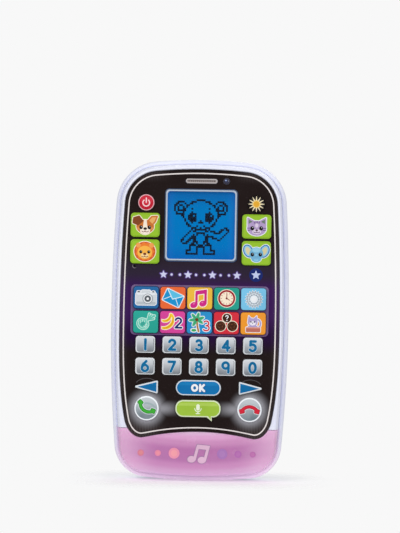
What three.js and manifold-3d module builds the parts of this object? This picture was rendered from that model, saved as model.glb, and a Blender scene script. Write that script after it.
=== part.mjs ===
// Toy mobile phone, in millimetres. It stands on its bottom edge with its face towards -Y:
// X runs to the right as you look at the face, Y from the face to the back, Z up.
// The origin is on the floor, under the middle of the phone.
import * as THREE from "three";
import { mergeVertices } from "three/addons/utils/BufferGeometryUtils.js";
import Module from "manifold-3d";

const wasm = await Module();
wasm.setup();

// ---- Driving dimensions ----

const DEPTH = 30;
const FRONT_Y = -DEPTH / 2;
const BACK_Y = DEPTH / 2;
const WAIST_Z = 85.6; // height of the widest level, which every outline is measured from
const HALF_WIDTH = 47.5;
const ABOVE_WAIST = 85.6;
const BELOW_WAIST = 85.9; // 0.3 more than WAIST_Z: the floor plane trims the bottom edge flat

// Radii of the silhouette above and below the waist: long side, nearly flat end, corner.
const UPPER = { side: 1000, end: 240, corner: 23.2 };
const LOWER = { side: 800, end: 270, corner: 18 };

// The black faceplate follows the silhouette above the waist, this far inside it.
const PANEL_INSET = 5.15;
const PANEL_DROP = 0.5; // the frame is this much wider again at the top
const PANEL_THICKNESS = 1.6;
const PANEL_FRONT = FRONT_Y + 1.4;
const PANEL_BACK = PANEL_FRONT + PANEL_THICKNESS;
const PANEL_FIT = 0.15;
const LEDGE_WIDTH = 2; // of the front shell's ledge behind the faceplate
const LEDGE_FRONT = PANEL_BACK + 0.1;
const LEDGE_BACK = LEDGE_FRONT + 1.9;

const SEAM_Y = -6; // where the front and rear shells meet
const SEAM_GAP = 0.3;
const SEAM_INSET = 2.75; // how far the seam lies inside the silhouette
const WALL = 1.8;
const CHIN_TOP_Z = 28; // the light-up chin meets the lavender shell here

// Keys: a cap through the faceplate, a flange that keeps it in, and a stem over the membrane.
const KEY_FIT = 0.2;
const KEY_PROUD = 1.3;
const KEY_EDGE = 0.45; // rounding of the cap's top edge
const KEY_FLANGE = 0.45;
const FLANGE_FRONT = PANEL_BACK + 0.15;
const FLANGE_BACK = FLANGE_FRONT + 0.8;
const STEM_RADIUS = 2;
const STEM_BACK = -10.4;

const MEMBRANE_FRONT = -9.4;
const MEMBRANE_BACK = -8.5;
const BOARD_FRONT = -8.3;
const BOARD_BACK = -6.9;

const COLUMN_PITCH = 14.25;
const APP = { width: 13.3, height: 11.7, corner: 1.5, rows: [97.2, 84.3] };
const DIGIT = { width: 10.3, height: 8.9, corner: 1.6, rows: [72.35, 60.85] };
const ANIMAL = { width: 15.4, height: 12.8, corner: 1.8, x: 29.55, rows: [135.7, 121.6] };
const ROUND_TOP = { radius: 4.3, x: 29.2, z: 147.6 };
const ARROW = { width: 12.1, height: 6.8, corner: 0.6, x: 27.5, z: 49.85 };
const OK_KEY = { width: 23.9, height: 8.1, z: 49.75 };
const SPEECH = { width: 24, height: 9, corner: 4.1, z: 38.7 };
const CALL = { radius: 6.5, x: 27.3, z: 38.5 };

const SCREEN = { z: 135.9, frame: 38.4, frameCorner: 2.2, glass: 35.9, glassCorner: 1.6 };
const EARPIECE = { width: 16.8, height: 2.5, z: 159.4 };
const CAMERA = { radius: 1.6, x: 13.2, z: 159.5 };
const PINHOLE = { radius: 0.65, x: -34.9, z: 113.8 };

const TOP_SCREW = { x: 31.2, z: 156 };
const CHIN_SCREW = { x: 35.5, z: 19.5 };
const SCREW_SEAT_Y = 7;

// Battery bay in the rear shell, and its cover.
const BAY = { halfWidth: 13, bottom: 32.5, top: 86.2, floor: 1.8, wall: 1.5 };
const COVER = { halfWidth: 15.9, bottom: 29.6, top: 94.2, front: 13.2, corner: 3 };
const COVER_GAP = 0.35;
const COVER_SCREW_Z = 90.3;
const BATTERY = { radius: 5.25, length: 44.5, x: 6.3, y: 7.3 };
const CONTACT_BOTTOM = 32.8;
const CONTACT_TOP = 85.4;
const CONTACT_THICKNESS = 0.5;
const REST_GAP = 0.3;

const SPEAKER = { z: 126, radius: 14.5 };

// Pillars in the rear shell that back up the main board, as [x, z] on the right side.
const BOARD_PILLARS = [[33, 112], [33, 62], [24, 44]];

const paint = (color, roughness, metalness = 0) =>
  new THREE.MeshStandardMaterial({ color, roughness, metalness });

const MATERIALS = {
  lavender: paint(0xdcdff2, 0.35),
  pink: paint(0xd48fc4, 0.3),
  black: paint(0x1c1614, 0.2),
  silver: paint(0xc9ccd0, 0.3, 0.4),
  green: paint(0x9ac51c, 0.3),
  blue: paint(0x1478c0, 0.3),
  red: paint(0xc01530, 0.3),
  screen: paint(0x1577cf, 0.2),
  clear: paint(0xf2f6fa, 0.1),
  rubber: paint(0x8d8f96, 0.8),
  board: paint(0x1f6b3a, 0.6),
  steel: paint(0xb9bcc0, 0.35, 1),
  battery: paint(0x2f7d4a, 0.4),
  speaker: paint(0x2b2b2e, 0.7),
  wire: paint(0xb3262a, 0.6),
};

// ---- Geometry helpers ----

const point = (x, z) => new THREE.Vector2(x, z);

// Turns a closed geometry into a solid that booleans can use.
function solid(geometry) {
  const bare = geometry.clone();
  bare.deleteAttribute("normal");
  bare.deleteAttribute("uv");
  const merged = mergeVertices(bare, 1e-4);
  return new wasm.Manifold(
    new wasm.Mesh({
      numProp: 3,
      vertProperties: merged.attributes.position.array,
      triVerts: new Uint32Array(merged.index.array),
    }),
  );
}

function geometryOf(body) {
  const mesh = body.getMesh();
  const geometry = new THREE.BufferGeometry();
  geometry.setAttribute("position", new THREE.BufferAttribute(mesh.vertProperties, 3));
  geometry.setIndex(new THREE.BufferAttribute(mesh.triVerts, 1));
  geometry.computeVertexNormals();
  return geometry;
}

// Moves a loop outwards along its own normals, or inwards when distance is negative.
function offsetLoop(loop, distance) {
  const count = loop.length;
  return loop.map((here, i) => {
    const before = here.clone().sub(loop[(i + count - 1) % count]).normalize();
    const after = loop[(i + 1) % count].clone().sub(here).normalize();
    const normal = point(before.y + after.y, -before.x - after.x).normalize();
    const across = normal.x * after.y - normal.y * after.x;
    return here.clone().addScaledVector(normal, distance / Math.max(across, 0.5));
  });
}

const mixLoops = (a, b, share) => a.map((p, i) => p.clone().lerp(b[i], share));

// Skins a list of { loop, y } rings. A tube closes on itself; otherwise the two ends are capped.
function loft(rings, isTube = false) {
  const count = rings[0].loop.length;
  const positions = rings.flatMap(({ loop, y }) =>
    loop.flatMap((p, i) => [p.x, Array.isArray(y) ? y[i] : y, p.y]),
  );
  const index = [];
  const bands = isTube ? rings.length : rings.length - 1;
  for (let band = 0; band < bands; band++) {
    const near = band * count;
    const far = ((band + 1) % rings.length) * count;
    for (let i = 0; i < count; i++) {
      const next = (i + 1) % count;
      index.push(near + i, far + i, far + next, near + i, far + next, near + next);
    }
  }
  if (!isTube) {
    const last = (rings.length - 1) * count;
    for (const [a, b, c] of THREE.ShapeUtils.triangulateShape(rings[0].loop, [])) {
      index.push(a, b, c);
    }
    for (const [a, b, c] of THREE.ShapeUtils.triangulateShape(rings.at(-1).loop, [])) {
      index.push(last + a, last + c, last + b);
    }
  }
  const geometry = new THREE.BufferGeometry();
  geometry.setAttribute("position", new THREE.Float32BufferAttribute(positions, 3));
  geometry.setIndex(index);
  return outward(geometry);
}

// Reverses a closed geometry's triangles if they face inwards.
function outward(geometry) {
  const index = geometry.index.array;
  const position = geometry.attributes.position;
  const corner = [new THREE.Vector3(), new THREE.Vector3(), new THREE.Vector3()];
  let volume = 0;
  for (let i = 0; i < index.length; i += 3) {
    corner.forEach((v, k) => v.fromBufferAttribute(position, index[i + k]));
    volume += corner[0].dot(corner[1].clone().cross(corner[2]));
  }
  if (volume < 0) {
    for (let i = 0; i < index.length; i += 3) {
      [index[i + 1], index[i + 2]] = [index[i + 2], index[i + 1]];
    }
  }
  return geometry;
}

// A flat plate of a loop, with holes, between two depths.
function plate(loop, front, back, holes = []) {
  const shape = new THREE.Shape(loop);
  shape.holes = holes.map((hole) => new THREE.Path(hole));
  const geometry = new THREE.ExtrudeGeometry(shape, {
    depth: back - front,
    bevelEnabled: false,
  });
  return geometry.rotateX(Math.PI / 2).translate(0, back, 0);
}

function block(x0, x1, y0, y1, z0, z1) {
  const geometry = new THREE.BoxGeometry(x1 - x0, y1 - y0, z1 - z0);
  return geometry.translate((x0 + x1) / 2, (y0 + y1) / 2, (z0 + z1) / 2);
}

// A body of revolution about a line along Y through (x, z). The profile is [radius, y] pairs.
function turned(profile, x, z, sides = 20) {
  const points = profile.map(([radius, y]) => point(radius, y));
  return new THREE.LatheGeometry(points, sides).translate(x, 0, z);
}

const rod = (radius, front, back, x, z, sides = 20) =>
  turned([[0, front], [radius, front], [radius, back], [0, back]], x, z, sides);

// A round wire along a curve.
function wire(points, radius, steps, sides = 6) {
  const section = new THREE.Shape(
    Array.from({ length: sides }, (_, i) => {
      const angle = (2 * Math.PI * i) / sides;
      return point(radius * Math.cos(angle), radius * Math.sin(angle));
    }),
  );
  return new THREE.ExtrudeGeometry(section, {
    steps,
    extrudePath: new THREE.CatmullRomCurve3(points),
    bevelEnabled: false,
  });
}

const moveLoop = (loop, x, z) => loop.map((p) => point(p.x + x, p.y + z));

function arcPoints(centre, radius, from, to, count) {
  return Array.from({ length: count + 1 }, (_, i) => {
    const angle = from + ((to - from) * i) / count;
    return point(centre.x + radius * Math.cos(angle), centre.y + radius * Math.sin(angle));
  });
}

function roundedRectangle(width, height, radius, steps = 2) {
  const x = width / 2 - radius;
  const z = height / 2 - radius;
  const quarter = Math.PI / 2;
  return [point(x, -z), point(x, z), point(-x, z), point(-x, -z)].flatMap((centre, i) =>
    arcPoints(centre, radius, (i - 1) * quarter, i * quarter, steps),
  );
}

const circle = (radius, sides = 16) =>
  Array.from({ length: sides }, (_, i) => {
    const angle = (2 * Math.PI * i) / sides;
    return point(radius * Math.cos(angle), radius * Math.sin(angle));
  });

const bezier = (a, b, c, d, count) => new THREE.CubicBezierCurve(a, b, c, d).getPoints(count);

// ---- Outlines ----

const STEPS = { end: 4, corner: 6, side: 4 };

// One rounded end of an outline, upwards from the waist: a side arc and an end arc, joined by
// a corner arc that is tangent to both. Taking inset off all three radii gives a parallel curve.
function roundedEnd({ side, end, corner }, halfWidth, height, inset) {
  const sideCentre = point(halfWidth - side, 0);
  const endCentre = point(0, height - end);
  const between = endCentre.clone().sub(sideCentre);
  const span = between.length();
  const toSide = side - corner;
  const toEnd = end - corner;
  const along = (toSide ** 2 - toEnd ** 2 + span ** 2) / (2 * span);
  const off = Math.sqrt(toSide ** 2 - along ** 2);
  const unit = between.normalize();
  const cornerCentre = sideCentre
    .clone()
    .addScaledVector(unit, along)
    .addScaledVector(point(-unit.y, unit.x), off);
  const sideAngle = cornerCentre.clone().sub(sideCentre).angle();
  const endAngle = cornerCentre.clone().sub(endCentre).angle();
  return [
    arcPoints(sideCentre, side - inset, 0, sideAngle, STEPS.side),
    arcPoints(cornerCentre, corner - inset, sideAngle, endAngle, STEPS.corner),
    arcPoints(endCentre, end - inset, endAngle, Math.PI / 2, STEPS.end),
  ];
}

// Joins an upper and a lower half-outline, mirrors them and lifts them to the waist's height.
// Both run from the waist outwards, and the loop starts at the bottom and goes anticlockwise.
function closedLoop(upperArcs, lowerArcs) {
  const chain = (arcs) => arcs.flatMap((arc, i) => (i ? arc.slice(1) : arc));
  const upper = chain(upperArcs);
  const lower = chain(lowerArcs).reverse();
  const right = [...lower, ...upper.slice(1)];
  const left = right.slice(1, -1).reverse();
  return [...right, ...left.map((p) => point(-p.x, p.y))].map((p) => point(p.x, p.y + WAIST_Z));
}

const below = (arcs) => arcs.map((arc) => arc.map((p) => point(p.x, -p.y)));

function silhouette(inset) {
  return closedLoop(
    roundedEnd(UPPER, HALF_WIDTH, ABOVE_WAIST, inset),
    below(roundedEnd(LOWER, HALF_WIDTH, BELOW_WAIST, inset)),
  );
}

// The faceplate's outline. Below the waist its sides draw in to two lobes, and its bottom edge
// rises between them.
function panelOutline() {
  const halfWidth = HALF_WIDTH - PANEL_INSET;
  const waist = point(halfWidth, 0);
  const shoulder = point(38.9, -53.1);
  const lobe = point(30, -62.5);
  const middle = point(0, -59.1);
  return closedLoop(roundedEnd(UPPER, HALF_WIDTH, ABOVE_WAIST - PANEL_DROP, PANEL_INSET), [
    bezier(waist, point(halfWidth, -15), point(42.5, -35.5), shoulder, STEPS.side),
    bezier(shoulder, point(37.9, -57.9), point(34.6, lobe.y), lobe, STEPS.corner),
    bezier(lobe, point(27.6, lobe.y), point(16.8, middle.y), middle, STEPS.end),
  ]);
}

const PANEL = panelOutline();
const panelAt = (distance) => offsetLoop(PANEL, distance);

// ---- Keys ----

const pill = (width, height, steps = 3) => roundedRectangle(width, height, height / 2, steps);

// A speech bubble: a rounded bar with a short tail under its right side.
function bubble() {
  const bar = roundedRectangle(SPEECH.width, SPEECH.height, SPEECH.corner, 3);
  const underside = -SPEECH.height / 2;
  return [...bar, point(4.6, underside), point(7.6, underside - 2.2), point(7.2, underside)];
}

// A triangle with rounded corners that points right for side 1, and left for side -1.
function arrowhead(side) {
  const { width, height, corner } = ARROW;
  const tip = point(width / 2 - corner, 0);
  const base = point(corner - width / 2, height / 2 - corner);
  const slant = Math.atan2(tip.x - base.x, base.y); // direction of the slanted edge's normal
  const arcs = [
    arcPoints(tip, corner, -slant, slant, 3),
    arcPoints(base, corner, slant, Math.PI, 2),
    arcPoints(point(base.x, -base.y), corner, Math.PI, 2 * Math.PI - slant, 2),
  ];
  return arcs.flat().map((p) => point(side * p.x, side * p.y));
}

const animalLoop = roundedRectangle(ANIMAL.width, ANIMAL.height, ANIMAL.corner);
const appLoop = roundedRectangle(APP.width, APP.height, APP.corner);
const digitLoop = roundedRectangle(DIGIT.width, DIGIT.height, DIGIT.corner);
const topLoop = circle(ROUND_TOP.radius, 14);

const keys = [
  { name: "power", loop: topLoop, x: -ROUND_TOP.x, z: ROUND_TOP.z, paint: "red" },
  { name: "sun", loop: topLoop, x: ROUND_TOP.x, z: ROUND_TOP.z, paint: "black" },
  { name: "dog", loop: animalLoop, x: -ANIMAL.x, z: ANIMAL.rows[0], paint: "green" },
  { name: "lion", loop: animalLoop, x: -ANIMAL.x, z: ANIMAL.rows[1], paint: "green" },
  { name: "cat", loop: animalLoop, x: ANIMAL.x, z: ANIMAL.rows[0], paint: "green" },
  { name: "elephant", loop: animalLoop, x: ANIMAL.x, z: ANIMAL.rows[1], paint: "green" },
  { name: "left_arrow", loop: arrowhead(-1), x: -ARROW.x, z: ARROW.z, paint: "blue" },
  { name: "right_arrow", loop: arrowhead(1), x: ARROW.x, z: ARROW.z, paint: "blue" },
  { name: "ok", loop: pill(OK_KEY.width, OK_KEY.height), x: 0, z: OK_KEY.z, paint: "blue" },
  { name: "speech", loop: bubble(), x: 0, z: SPEECH.z, paint: "green" },
  { name: "call", loop: circle(CALL.radius), x: -CALL.x, z: CALL.z, paint: "silver" },
  { name: "hang_up", loop: circle(CALL.radius), x: CALL.x, z: CALL.z, paint: "silver" },
];

function addKeyGrid(names, loop, rows, paintName, flange) {
  names.forEach((name, i) => {
    const x = ((i % 5) - 2) * COLUMN_PITCH;
    keys.push({ name, loop, x, z: rows[Math.floor(i / 5)], paint: paintName, flange });
  });
}

const appNames = ["camera", "mail", "music", "clock", "settings"].concat(
  ["pineapple", "banana", "palm", "coconut", "toy_box"],
);
const digitNames = [1, 2, 3, 4, 5, 6, 7, 8, 9, 0].map((digit) => `digit_${digit}`);
// The picture keys sit so close side by side that they have flanges above and below only.
const appFlange = roundedRectangle(APP.width - 0.1, APP.height + 2 * KEY_FLANGE, APP.corner);
addKeyGrid(appNames, appLoop, APP.rows, "blue", appFlange);
addKeyGrid(digitNames, digitLoop, DIGIT.rows, "silver");

function keyBody({ loop, x, z, flange = offsetLoop(loop, KEY_FLANGE) }) {
  const stem = loop.map((p) => p.clone().normalize().multiplyScalar(STEM_RADIUS));
  const top = PANEL_FRONT - KEY_PROUD;
  const rings = [
    { loop: stem, y: STEM_BACK },
    { loop: stem, y: FLANGE_BACK },
    { loop: flange, y: FLANGE_BACK },
    { loop: flange, y: FLANGE_FRONT },
    { loop, y: FLANGE_FRONT },
    { loop, y: top + KEY_EDGE },
    { loop: offsetLoop(loop, -KEY_EDGE), y: top },
  ];
  return loft(rings).translate(x, 0, z);
}

// ---- Casing ----

// The frame round the faceplate, as one closed band: its outside is always the same, and the
// inner rings close it. The lavender front shell and the pink chin are cut from such bands.
function bezelBand(innerRings) {
  const lip = [
    { loop: panelAt(PANEL_FIT), y: FRONT_Y + 0.6 },
    { loop: panelAt(0.6), y: FRONT_Y },
    { loop: panelAt(1.2), y: FRONT_Y + 0.2 },
  ];
  const middle = { loop: mixLoops(panelAt(1.2), silhouette(3.6), 0.5), y: FRONT_Y + 0.75 };
  const side = [
    { loop: silhouette(3.6), y: FRONT_Y + 1.5 },
    { loop: silhouette(2.95), y: FRONT_Y + 3.8 },
    { loop: silhouette(SEAM_INSET), y: SEAM_Y - SEAM_GAP / 2 },
    { loop: silhouette(SEAM_INSET + WALL), y: SEAM_Y - SEAM_GAP / 2 },
  ];
  return solid(loft([...lip, middle, ...side, ...innerRings], true));
}

const above = (z) => solid(block(-60, 60, -40, 40, z, 200));
const under = (z) => solid(block(-60, 60, -40, 40, -20, z));

// A post for a housing screw, with the screw's pilot hole.
function screwPost(x, z, front) {
  const post = solid(rod(3.4, front, SEAM_Y - SEAM_GAP / 2, x, z, 16));
  return post.subtract(solid(rod(1.55, front + 1.2, 0, x, z, 12)));
}

function frontShell() {
  const band = bezelBand([
    { loop: silhouette(SEAM_INSET + WALL), y: LEDGE_BACK },
    { loop: panelAt(-LEDGE_WIDTH), y: LEDGE_BACK },
    { loop: panelAt(-LEDGE_WIDTH), y: LEDGE_FRONT },
    { loop: panelAt(PANEL_FIT), y: LEDGE_FRONT },
  ]);
  // The ledge goes on behind the chin, so that the faceplate is carried all the way round.
  const ledge = solid(
    plate(panelAt(-0.3), LEDGE_FRONT, LEDGE_BACK, [panelAt(-LEDGE_WIDTH).reverse()]),
  );
  let shell = band.intersect(above(CHIN_TOP_Z + SEAM_GAP / 2)).add(ledge);
  for (const side of [-1, 1]) {
    const { x, z } = TOP_SCREW;
    const [web0, web1] = [side * (x + 2.4), side * (x + 8.5)].sort((a, b) => a - b);
    shell = shell.add(screwPost(side * x, z, LEDGE_FRONT + 0.2));
    shell = shell.add(solid(block(web0, web1, LEDGE_FRONT + 0.2, SEAM_Y - 1, z - 1, z + 1)));
  }
  return shell;
}

function lightChin() {
  const band = bezelBand([
    { loop: silhouette(SEAM_INSET + WALL + 0.3), y: FRONT_Y + 4.6 },
    { loop: mixLoops(panelAt(1.8), silhouette(SEAM_INSET + WALL + 0.3), 0.5), y: FRONT_Y + 2.9 },
    { loop: panelAt(1.8), y: FRONT_Y + 2.6 },
    { loop: panelAt(PANEL_FIT), y: LEDGE_BACK },
  ]);
  let chin = band.intersect(under(CHIN_TOP_Z - SEAM_GAP / 2)).intersect(above(0));
  for (const side of [-1, 1]) {
    chin = chin.add(screwPost(side * CHIN_SCREW.x, CHIN_SCREW.z, FRONT_Y + 2.6));
  }
  return chin;
}

// The tub: a rounded rim stands a little proud of the seam, and the sides run straight back
// and round over to a flat back.
function rearTub() {
  const rim = SEAM_Y + SEAM_GAP / 2;
  const crown = [[SEAM_INSET, rim], [2.3, -6.4], [1.6, -6.75], [0.8, -6.2], [0.15, -4.6]];
  const outside = [...crown, [0, -2.5], [0, 6.5], [0.25, 8.6]];
  const shoulder = [[1.2, 10.6], [3.2, 12.7], [6.2, 14.2], [10, BACK_Y]];
  const neck = SEAM_INSET + WALL;
  const inside = [[12, 13], [7.8, 12.3], [4.8, 11], [3, 9], [2, 6.5], [2, -2], [neck, rim]];
  const ring = ([inset, y]) => ({ loop: silhouette(inset), y });
  const outer = loft([...outside, ...shoulder].map(ring));
  const hollow = loft([...inside.map(ring), { loop: silhouette(neck), y: rim - 1 }]);
  return solid(outer).subtract(solid(hollow)).intersect(above(0));
}

function speakerSlots() {
  const slots = [];
  const pitch = 3.4;
  for (let row = -3; row <= 3; row++) {
    const z = row * pitch;
    const halfLength = Math.sqrt(12.2 ** 2 - z ** 2);
    const slot = pill(2 * halfLength, 1.7);
    slots.push(solid(plate(moveLoop(slot, 0, SPEAKER.z + z), 12, BACK_Y + 1)));
  }
  return slots;
}

// The rib that the speaker's rim sits in.
function speakerRing() {
  const inner = SPEAKER.radius + REST_GAP;
  const profile = [[inner, 9], [inner + 1.5, 9], [inner + 1.5, 13.4], [inner, 13.4], [inner, 9]];
  return turned(profile, 0, SPEAKER.z, 28);
}

function rearShell() {
  const { halfWidth, bottom, top, floor, wall } = BAY;
  const recess = roundedRectangle(
    2 * (COVER.halfWidth + COVER_GAP),
    COVER.top - COVER.bottom + 2 * COVER_GAP,
    COVER.corner + COVER_GAP,
    3,
  );
  const recessLoop = moveLoop(recess, 0, (COVER.top + COVER.bottom) / 2);
  const added = [
    block(-halfWidth - wall, halfWidth + wall, floor - wall, 13.4, bottom - wall, top + wall),
    plate(offsetLoop(recessLoop, 2.4), 10.6, 13.4),
    rod(3.8, 4, 13.4, 0, COVER_SCREW_Z),
    speakerRing(),
  ];
  const cut = [
    block(-halfWidth, halfWidth, floor, BACK_Y + 1, bottom, top),
    plate(recessLoop, 13, BACK_Y + 1),
    rod(2.1, 5.2, 14, 0, COVER_SCREW_Z),
  ];
  for (const side of [-1, 1]) {
    cut.push(block(side * 7 - 2.4, side * 7 + 2.4, 10, 13.05, 26.8, 34));
    for (const { x, z } of [TOP_SCREW, CHIN_SCREW]) {
      added.push(rod(4.4, SEAM_Y + SEAM_GAP / 2, 13.6, side * x, z, 16));
      cut.push(rod(3.2, SCREW_SEAT_Y, BACK_Y + 1, side * x, z, 16));
      cut.push(rod(1.6, SEAM_Y - 1, SCREW_SEAT_Y + 1, side * x, z, 12));
    }
    for (const [x, z] of BOARD_PILLARS) {
      added.push(rod(2, BOARD_BACK + REST_GAP, 13.6, side * x, z, 12));
    }
  }
  let shell = rearTub();
  for (const piece of added) shell = shell.add(solid(piece));
  for (const piece of cut) shell = shell.subtract(solid(piece));
  for (const slot of speakerSlots()) shell = shell.subtract(slot);
  return shell;
}

function batteryCover() {
  const height = COVER.top - COVER.bottom;
  const loop = roundedRectangle(2 * COVER.halfWidth, height, COVER.corner, 3);
  const centred = moveLoop(loop, 0, (COVER.top + COVER.bottom) / 2);
  let cover = solid(plate(centred, COVER.front, BACK_Y));
  cover = cover.subtract(solid(rod(3.1, 14, BACK_Y + 1, 0, COVER_SCREW_Z)));
  cover = cover.subtract(solid(rod(1.65, 12, BACK_Y, 0, COVER_SCREW_Z, 14)));
  for (const side of [-1, 1]) {
    // A hook that reaches behind the rear shell's edge, on a short neck.
    const hook = block(side * 7 - 2, side * 7 + 2, 11.2, 12.75, 27.9, 31);
    const neck = block(side * 7 - 2, side * 7 + 2, 12.5, 13.5, 29.8, 31);
    cover = cover.add(solid(hook)).add(solid(neck));
  }
  // Three finger grooves at the screw end.
  for (const z of [78, 80.5, 83]) {
    cover = cover.subtract(solid(block(-7, 7, 14.5, 16, z, z + 1.1)));
  }
  return cover;
}

// A self-tapping screw along Y with a cross slot. Its head faces the back.
function screw(x, z, { head, headRadius, headFront, shankRadius, shankFront }) {
  const headBack = headFront + head;
  const body = solid(
    turned(
      [
        [0, shankFront],
        [shankRadius * 0.5, shankFront],
        [shankRadius, shankFront + 1],
        [shankRadius, headFront],
        [headRadius, headFront],
        [headRadius, headBack - 0.5],
        [headRadius * 0.75, headBack],
        [0, headBack],
      ],
      x,
      z,
      14,
    ),
  );
  const slotDepth = headBack - 0.6;
  const across = block(x - 1.5, x + 1.5, slotDepth, headBack + 1, z - 0.35, z + 0.35);
  const along = block(x - 0.35, x + 0.35, slotDepth, headBack + 1, z - 1.5, z + 1.5);
  return body.subtract(solid(across)).subtract(solid(along));
}

// ---- Screen ----

const square = (size, corner) => moveLoop(roundedRectangle(size, size, corner, 3), 0, SCREEN.z);

function screenFrame() {
  const outer = square(SCREEN.frame, SCREEN.frameCorner);
  const inner = square(SCREEN.glass, SCREEN.glassCorner);
  return plate(outer, PANEL_FRONT - 0.35, PANEL_BACK - 0.1, [inner]);
}

// ---- Electronics ----

// The battery's axis is Z. direction is 1 with the positive nub up, and -1 with it down.
function battery(x, nubZ, direction) {
  const { radius, length } = BATTERY;
  const nub = 1.9;
  const profile = [[0, 0], [nub, 0], [nub, 0.9], [radius - 0.5, 0.9], [radius, 1.4]];
  profile.push([radius, length - 0.5], [radius - 0.5, length], [0, length]);
  const points = profile.map(([r, along]) => point(r, along)).reverse();
  const lathe = new THREE.LatheGeometry(points, 20);
  const turn = direction > 0 ? -Math.PI / 2 : Math.PI / 2;
  return outwardClean(lathe.rotateX(turn)).translate(x, BATTERY.y, nubZ);
}

const outwardClean = (geometry) => {
  const merged = geometry.clone();
  merged.deleteAttribute("normal");
  merged.deleteAttribute("uv");
  return outward(mergeVertices(merged, 1e-4));
};

// A coned battery spring that stands on a contact plate, from z0 to z1.
function contactSpring(x, z0, z1) {
  const turns = 3;
  const wireRadius = 0.35;
  const steps = 14 * turns;
  const up = Math.sign(z1 - z0);
  const points = Array.from({ length: steps + 1 }, (_, i) => {
    const share = i / steps;
    const angle = 2 * Math.PI * turns * share;
    const radius = 3.6 - 1.4 * share;
    const z = z0 + share * (z1 - z0 - up * wireRadius);
    return new THREE.Vector3(x + radius * Math.cos(angle), BATTERY.y + radius * Math.sin(angle), z);
  });
  return solid(outwardClean(wire(points, wireRadius, steps, 5)));
}

const contactPlate = (x0, x1, z) =>
  solid(block(x0, x1, BATTERY.y - 4.4, BATTERY.y + 3.4, z, z + CONTACT_THICKNESS));

const batteryEnds = {
  leftBottom: CONTACT_TOP - REST_GAP - BATTERY.length,
  rightTop: CONTACT_BOTTOM + CONTACT_THICKNESS + REST_GAP + BATTERY.length,
};

function linkContact() {
  const top = CONTACT_BOTTOM + CONTACT_THICKNESS;
  const spring = contactSpring(-BATTERY.x, top - 0.1, batteryEnds.leftBottom - REST_GAP);
  return contactPlate(-11, 11, CONTACT_BOTTOM).add(spring);
}

function negativeContact() {
  const spring = contactSpring(BATTERY.x, CONTACT_TOP + 0.1, batteryEnds.rightTop + REST_GAP);
  return contactPlate(1.6, 11, CONTACT_TOP).add(spring);
}

function speakerBody() {
  const { radius, z } = SPEAKER;
  return turned(
    [
      [0, 3.2],
      [8, 3.2],
      [8, 6.4],
      [radius - 2.5, 8.6],
      [radius, 11.2],
      [radius, 12.6],
      [radius - 1.6, 12.6],
      [radius - 2.2, 11.8],
      [radius - 6, 10.2],
      [4.4, 10.9],
      [0, 11.4],
    ],
    0,
    z,
    24,
  );
}

// The strip of lights behind the chin: a narrow board with domed lamps facing forwards.
function chinLightBoard() {
  const z = 13.6;
  let board = solid(block(-30, 30, -8.6, -7.4, z - 4.5, z + 4.5));
  for (const x of [-21, -7, 7, 21]) {
    const lamp = [[0, -10.6], [1, -10.4], [1.6, -9.6], [1.6, -8.4], [0, -8.4]];
    board = board.add(solid(turned(lamp, x, z, 12)));
  }
  return board;
}

function mainBoard() {
  const outline = roundedRectangle(73, 119, 3);
  let board = solid(plate(moveLoop(outline, 0, 89.8), BOARD_FRONT, BOARD_BACK));
  const chip = rod(6.5, BOARD_BACK - 0.1, BOARD_BACK + 1.3, -16, 104, 18);
  const capacitor = rod(3.2, BOARD_BACK - 0.1, BOARD_BACK + 5.4, 22, 106, 16);
  const socket = block(14, 22, BOARD_BACK - 0.1, BOARD_BACK + 4, 34, 39);
  for (const piece of [chip, capacitor, socket]) board = board.add(solid(piece));
  return board;
}

const v3 = (x, y, z) => new THREE.Vector3(x, y, z);

// ---- Assembly ----

const phone = new THREE.Group();

function addPart(name, shape, material) {
  const geometry = shape instanceof THREE.BufferGeometry ? shape : geometryOf(shape);
  const mesh = new THREE.Mesh(geometry, MATERIALS[material]);
  mesh.name = name;
  phone.add(mesh);
}

const windowHole = offsetLoop(square(SCREEN.frame, SCREEN.frameCorner), PANEL_FIT);
const earpieceLoop = moveLoop(pill(EARPIECE.width, EARPIECE.height), 0, EARPIECE.z);
const cameraLoop = moveLoop(circle(CAMERA.radius, 14), CAMERA.x, CAMERA.z);
const panelHoles = [
  windowHole,
  offsetLoop(earpieceLoop, PANEL_FIT),
  offsetLoop(cameraLoop, PANEL_FIT),
  moveLoop(circle(PINHOLE.radius, 10), PINHOLE.x, PINHOLE.z),
  ...keys.map(({ loop, x, z }) => moveLoop(offsetLoop(loop, KEY_FIT), x, z)),
];

addPart("front_shell", frontShell(), "lavender");
addPart("rear_shell", rearShell(), "lavender");
addPart("light_chin", lightChin(), "pink");
addPart("faceplate", plate(PANEL, PANEL_FRONT, PANEL_BACK, panelHoles), "black");

for (const key of keys) addPart(`${key.name}_key`, keyBody(key), key.paint);

const glass = square(SCREEN.glass - 2 * PANEL_FIT, SCREEN.glassCorner);
const screenBlock = (halfWidth, down, up, front, back) =>
  block(-halfWidth, halfWidth, front, back, SCREEN.z - down, SCREEN.z + up);
addPart("lcd_frame", screenFrame(), "silver");
addPart("lcd_window", plate(glass, PANEL_FRONT + 0.25, PANEL_BACK - 0.3), "clear");
addPart("lcd_panel", screenBlock(20, 20.5, 20.5, PANEL_BACK + 0.1, -10), "screen");
addPart("lcd_backlight", screenBlock(20.5, 21.5, 21.5, -9.8, MEMBRANE_BACK), "clear");

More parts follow.
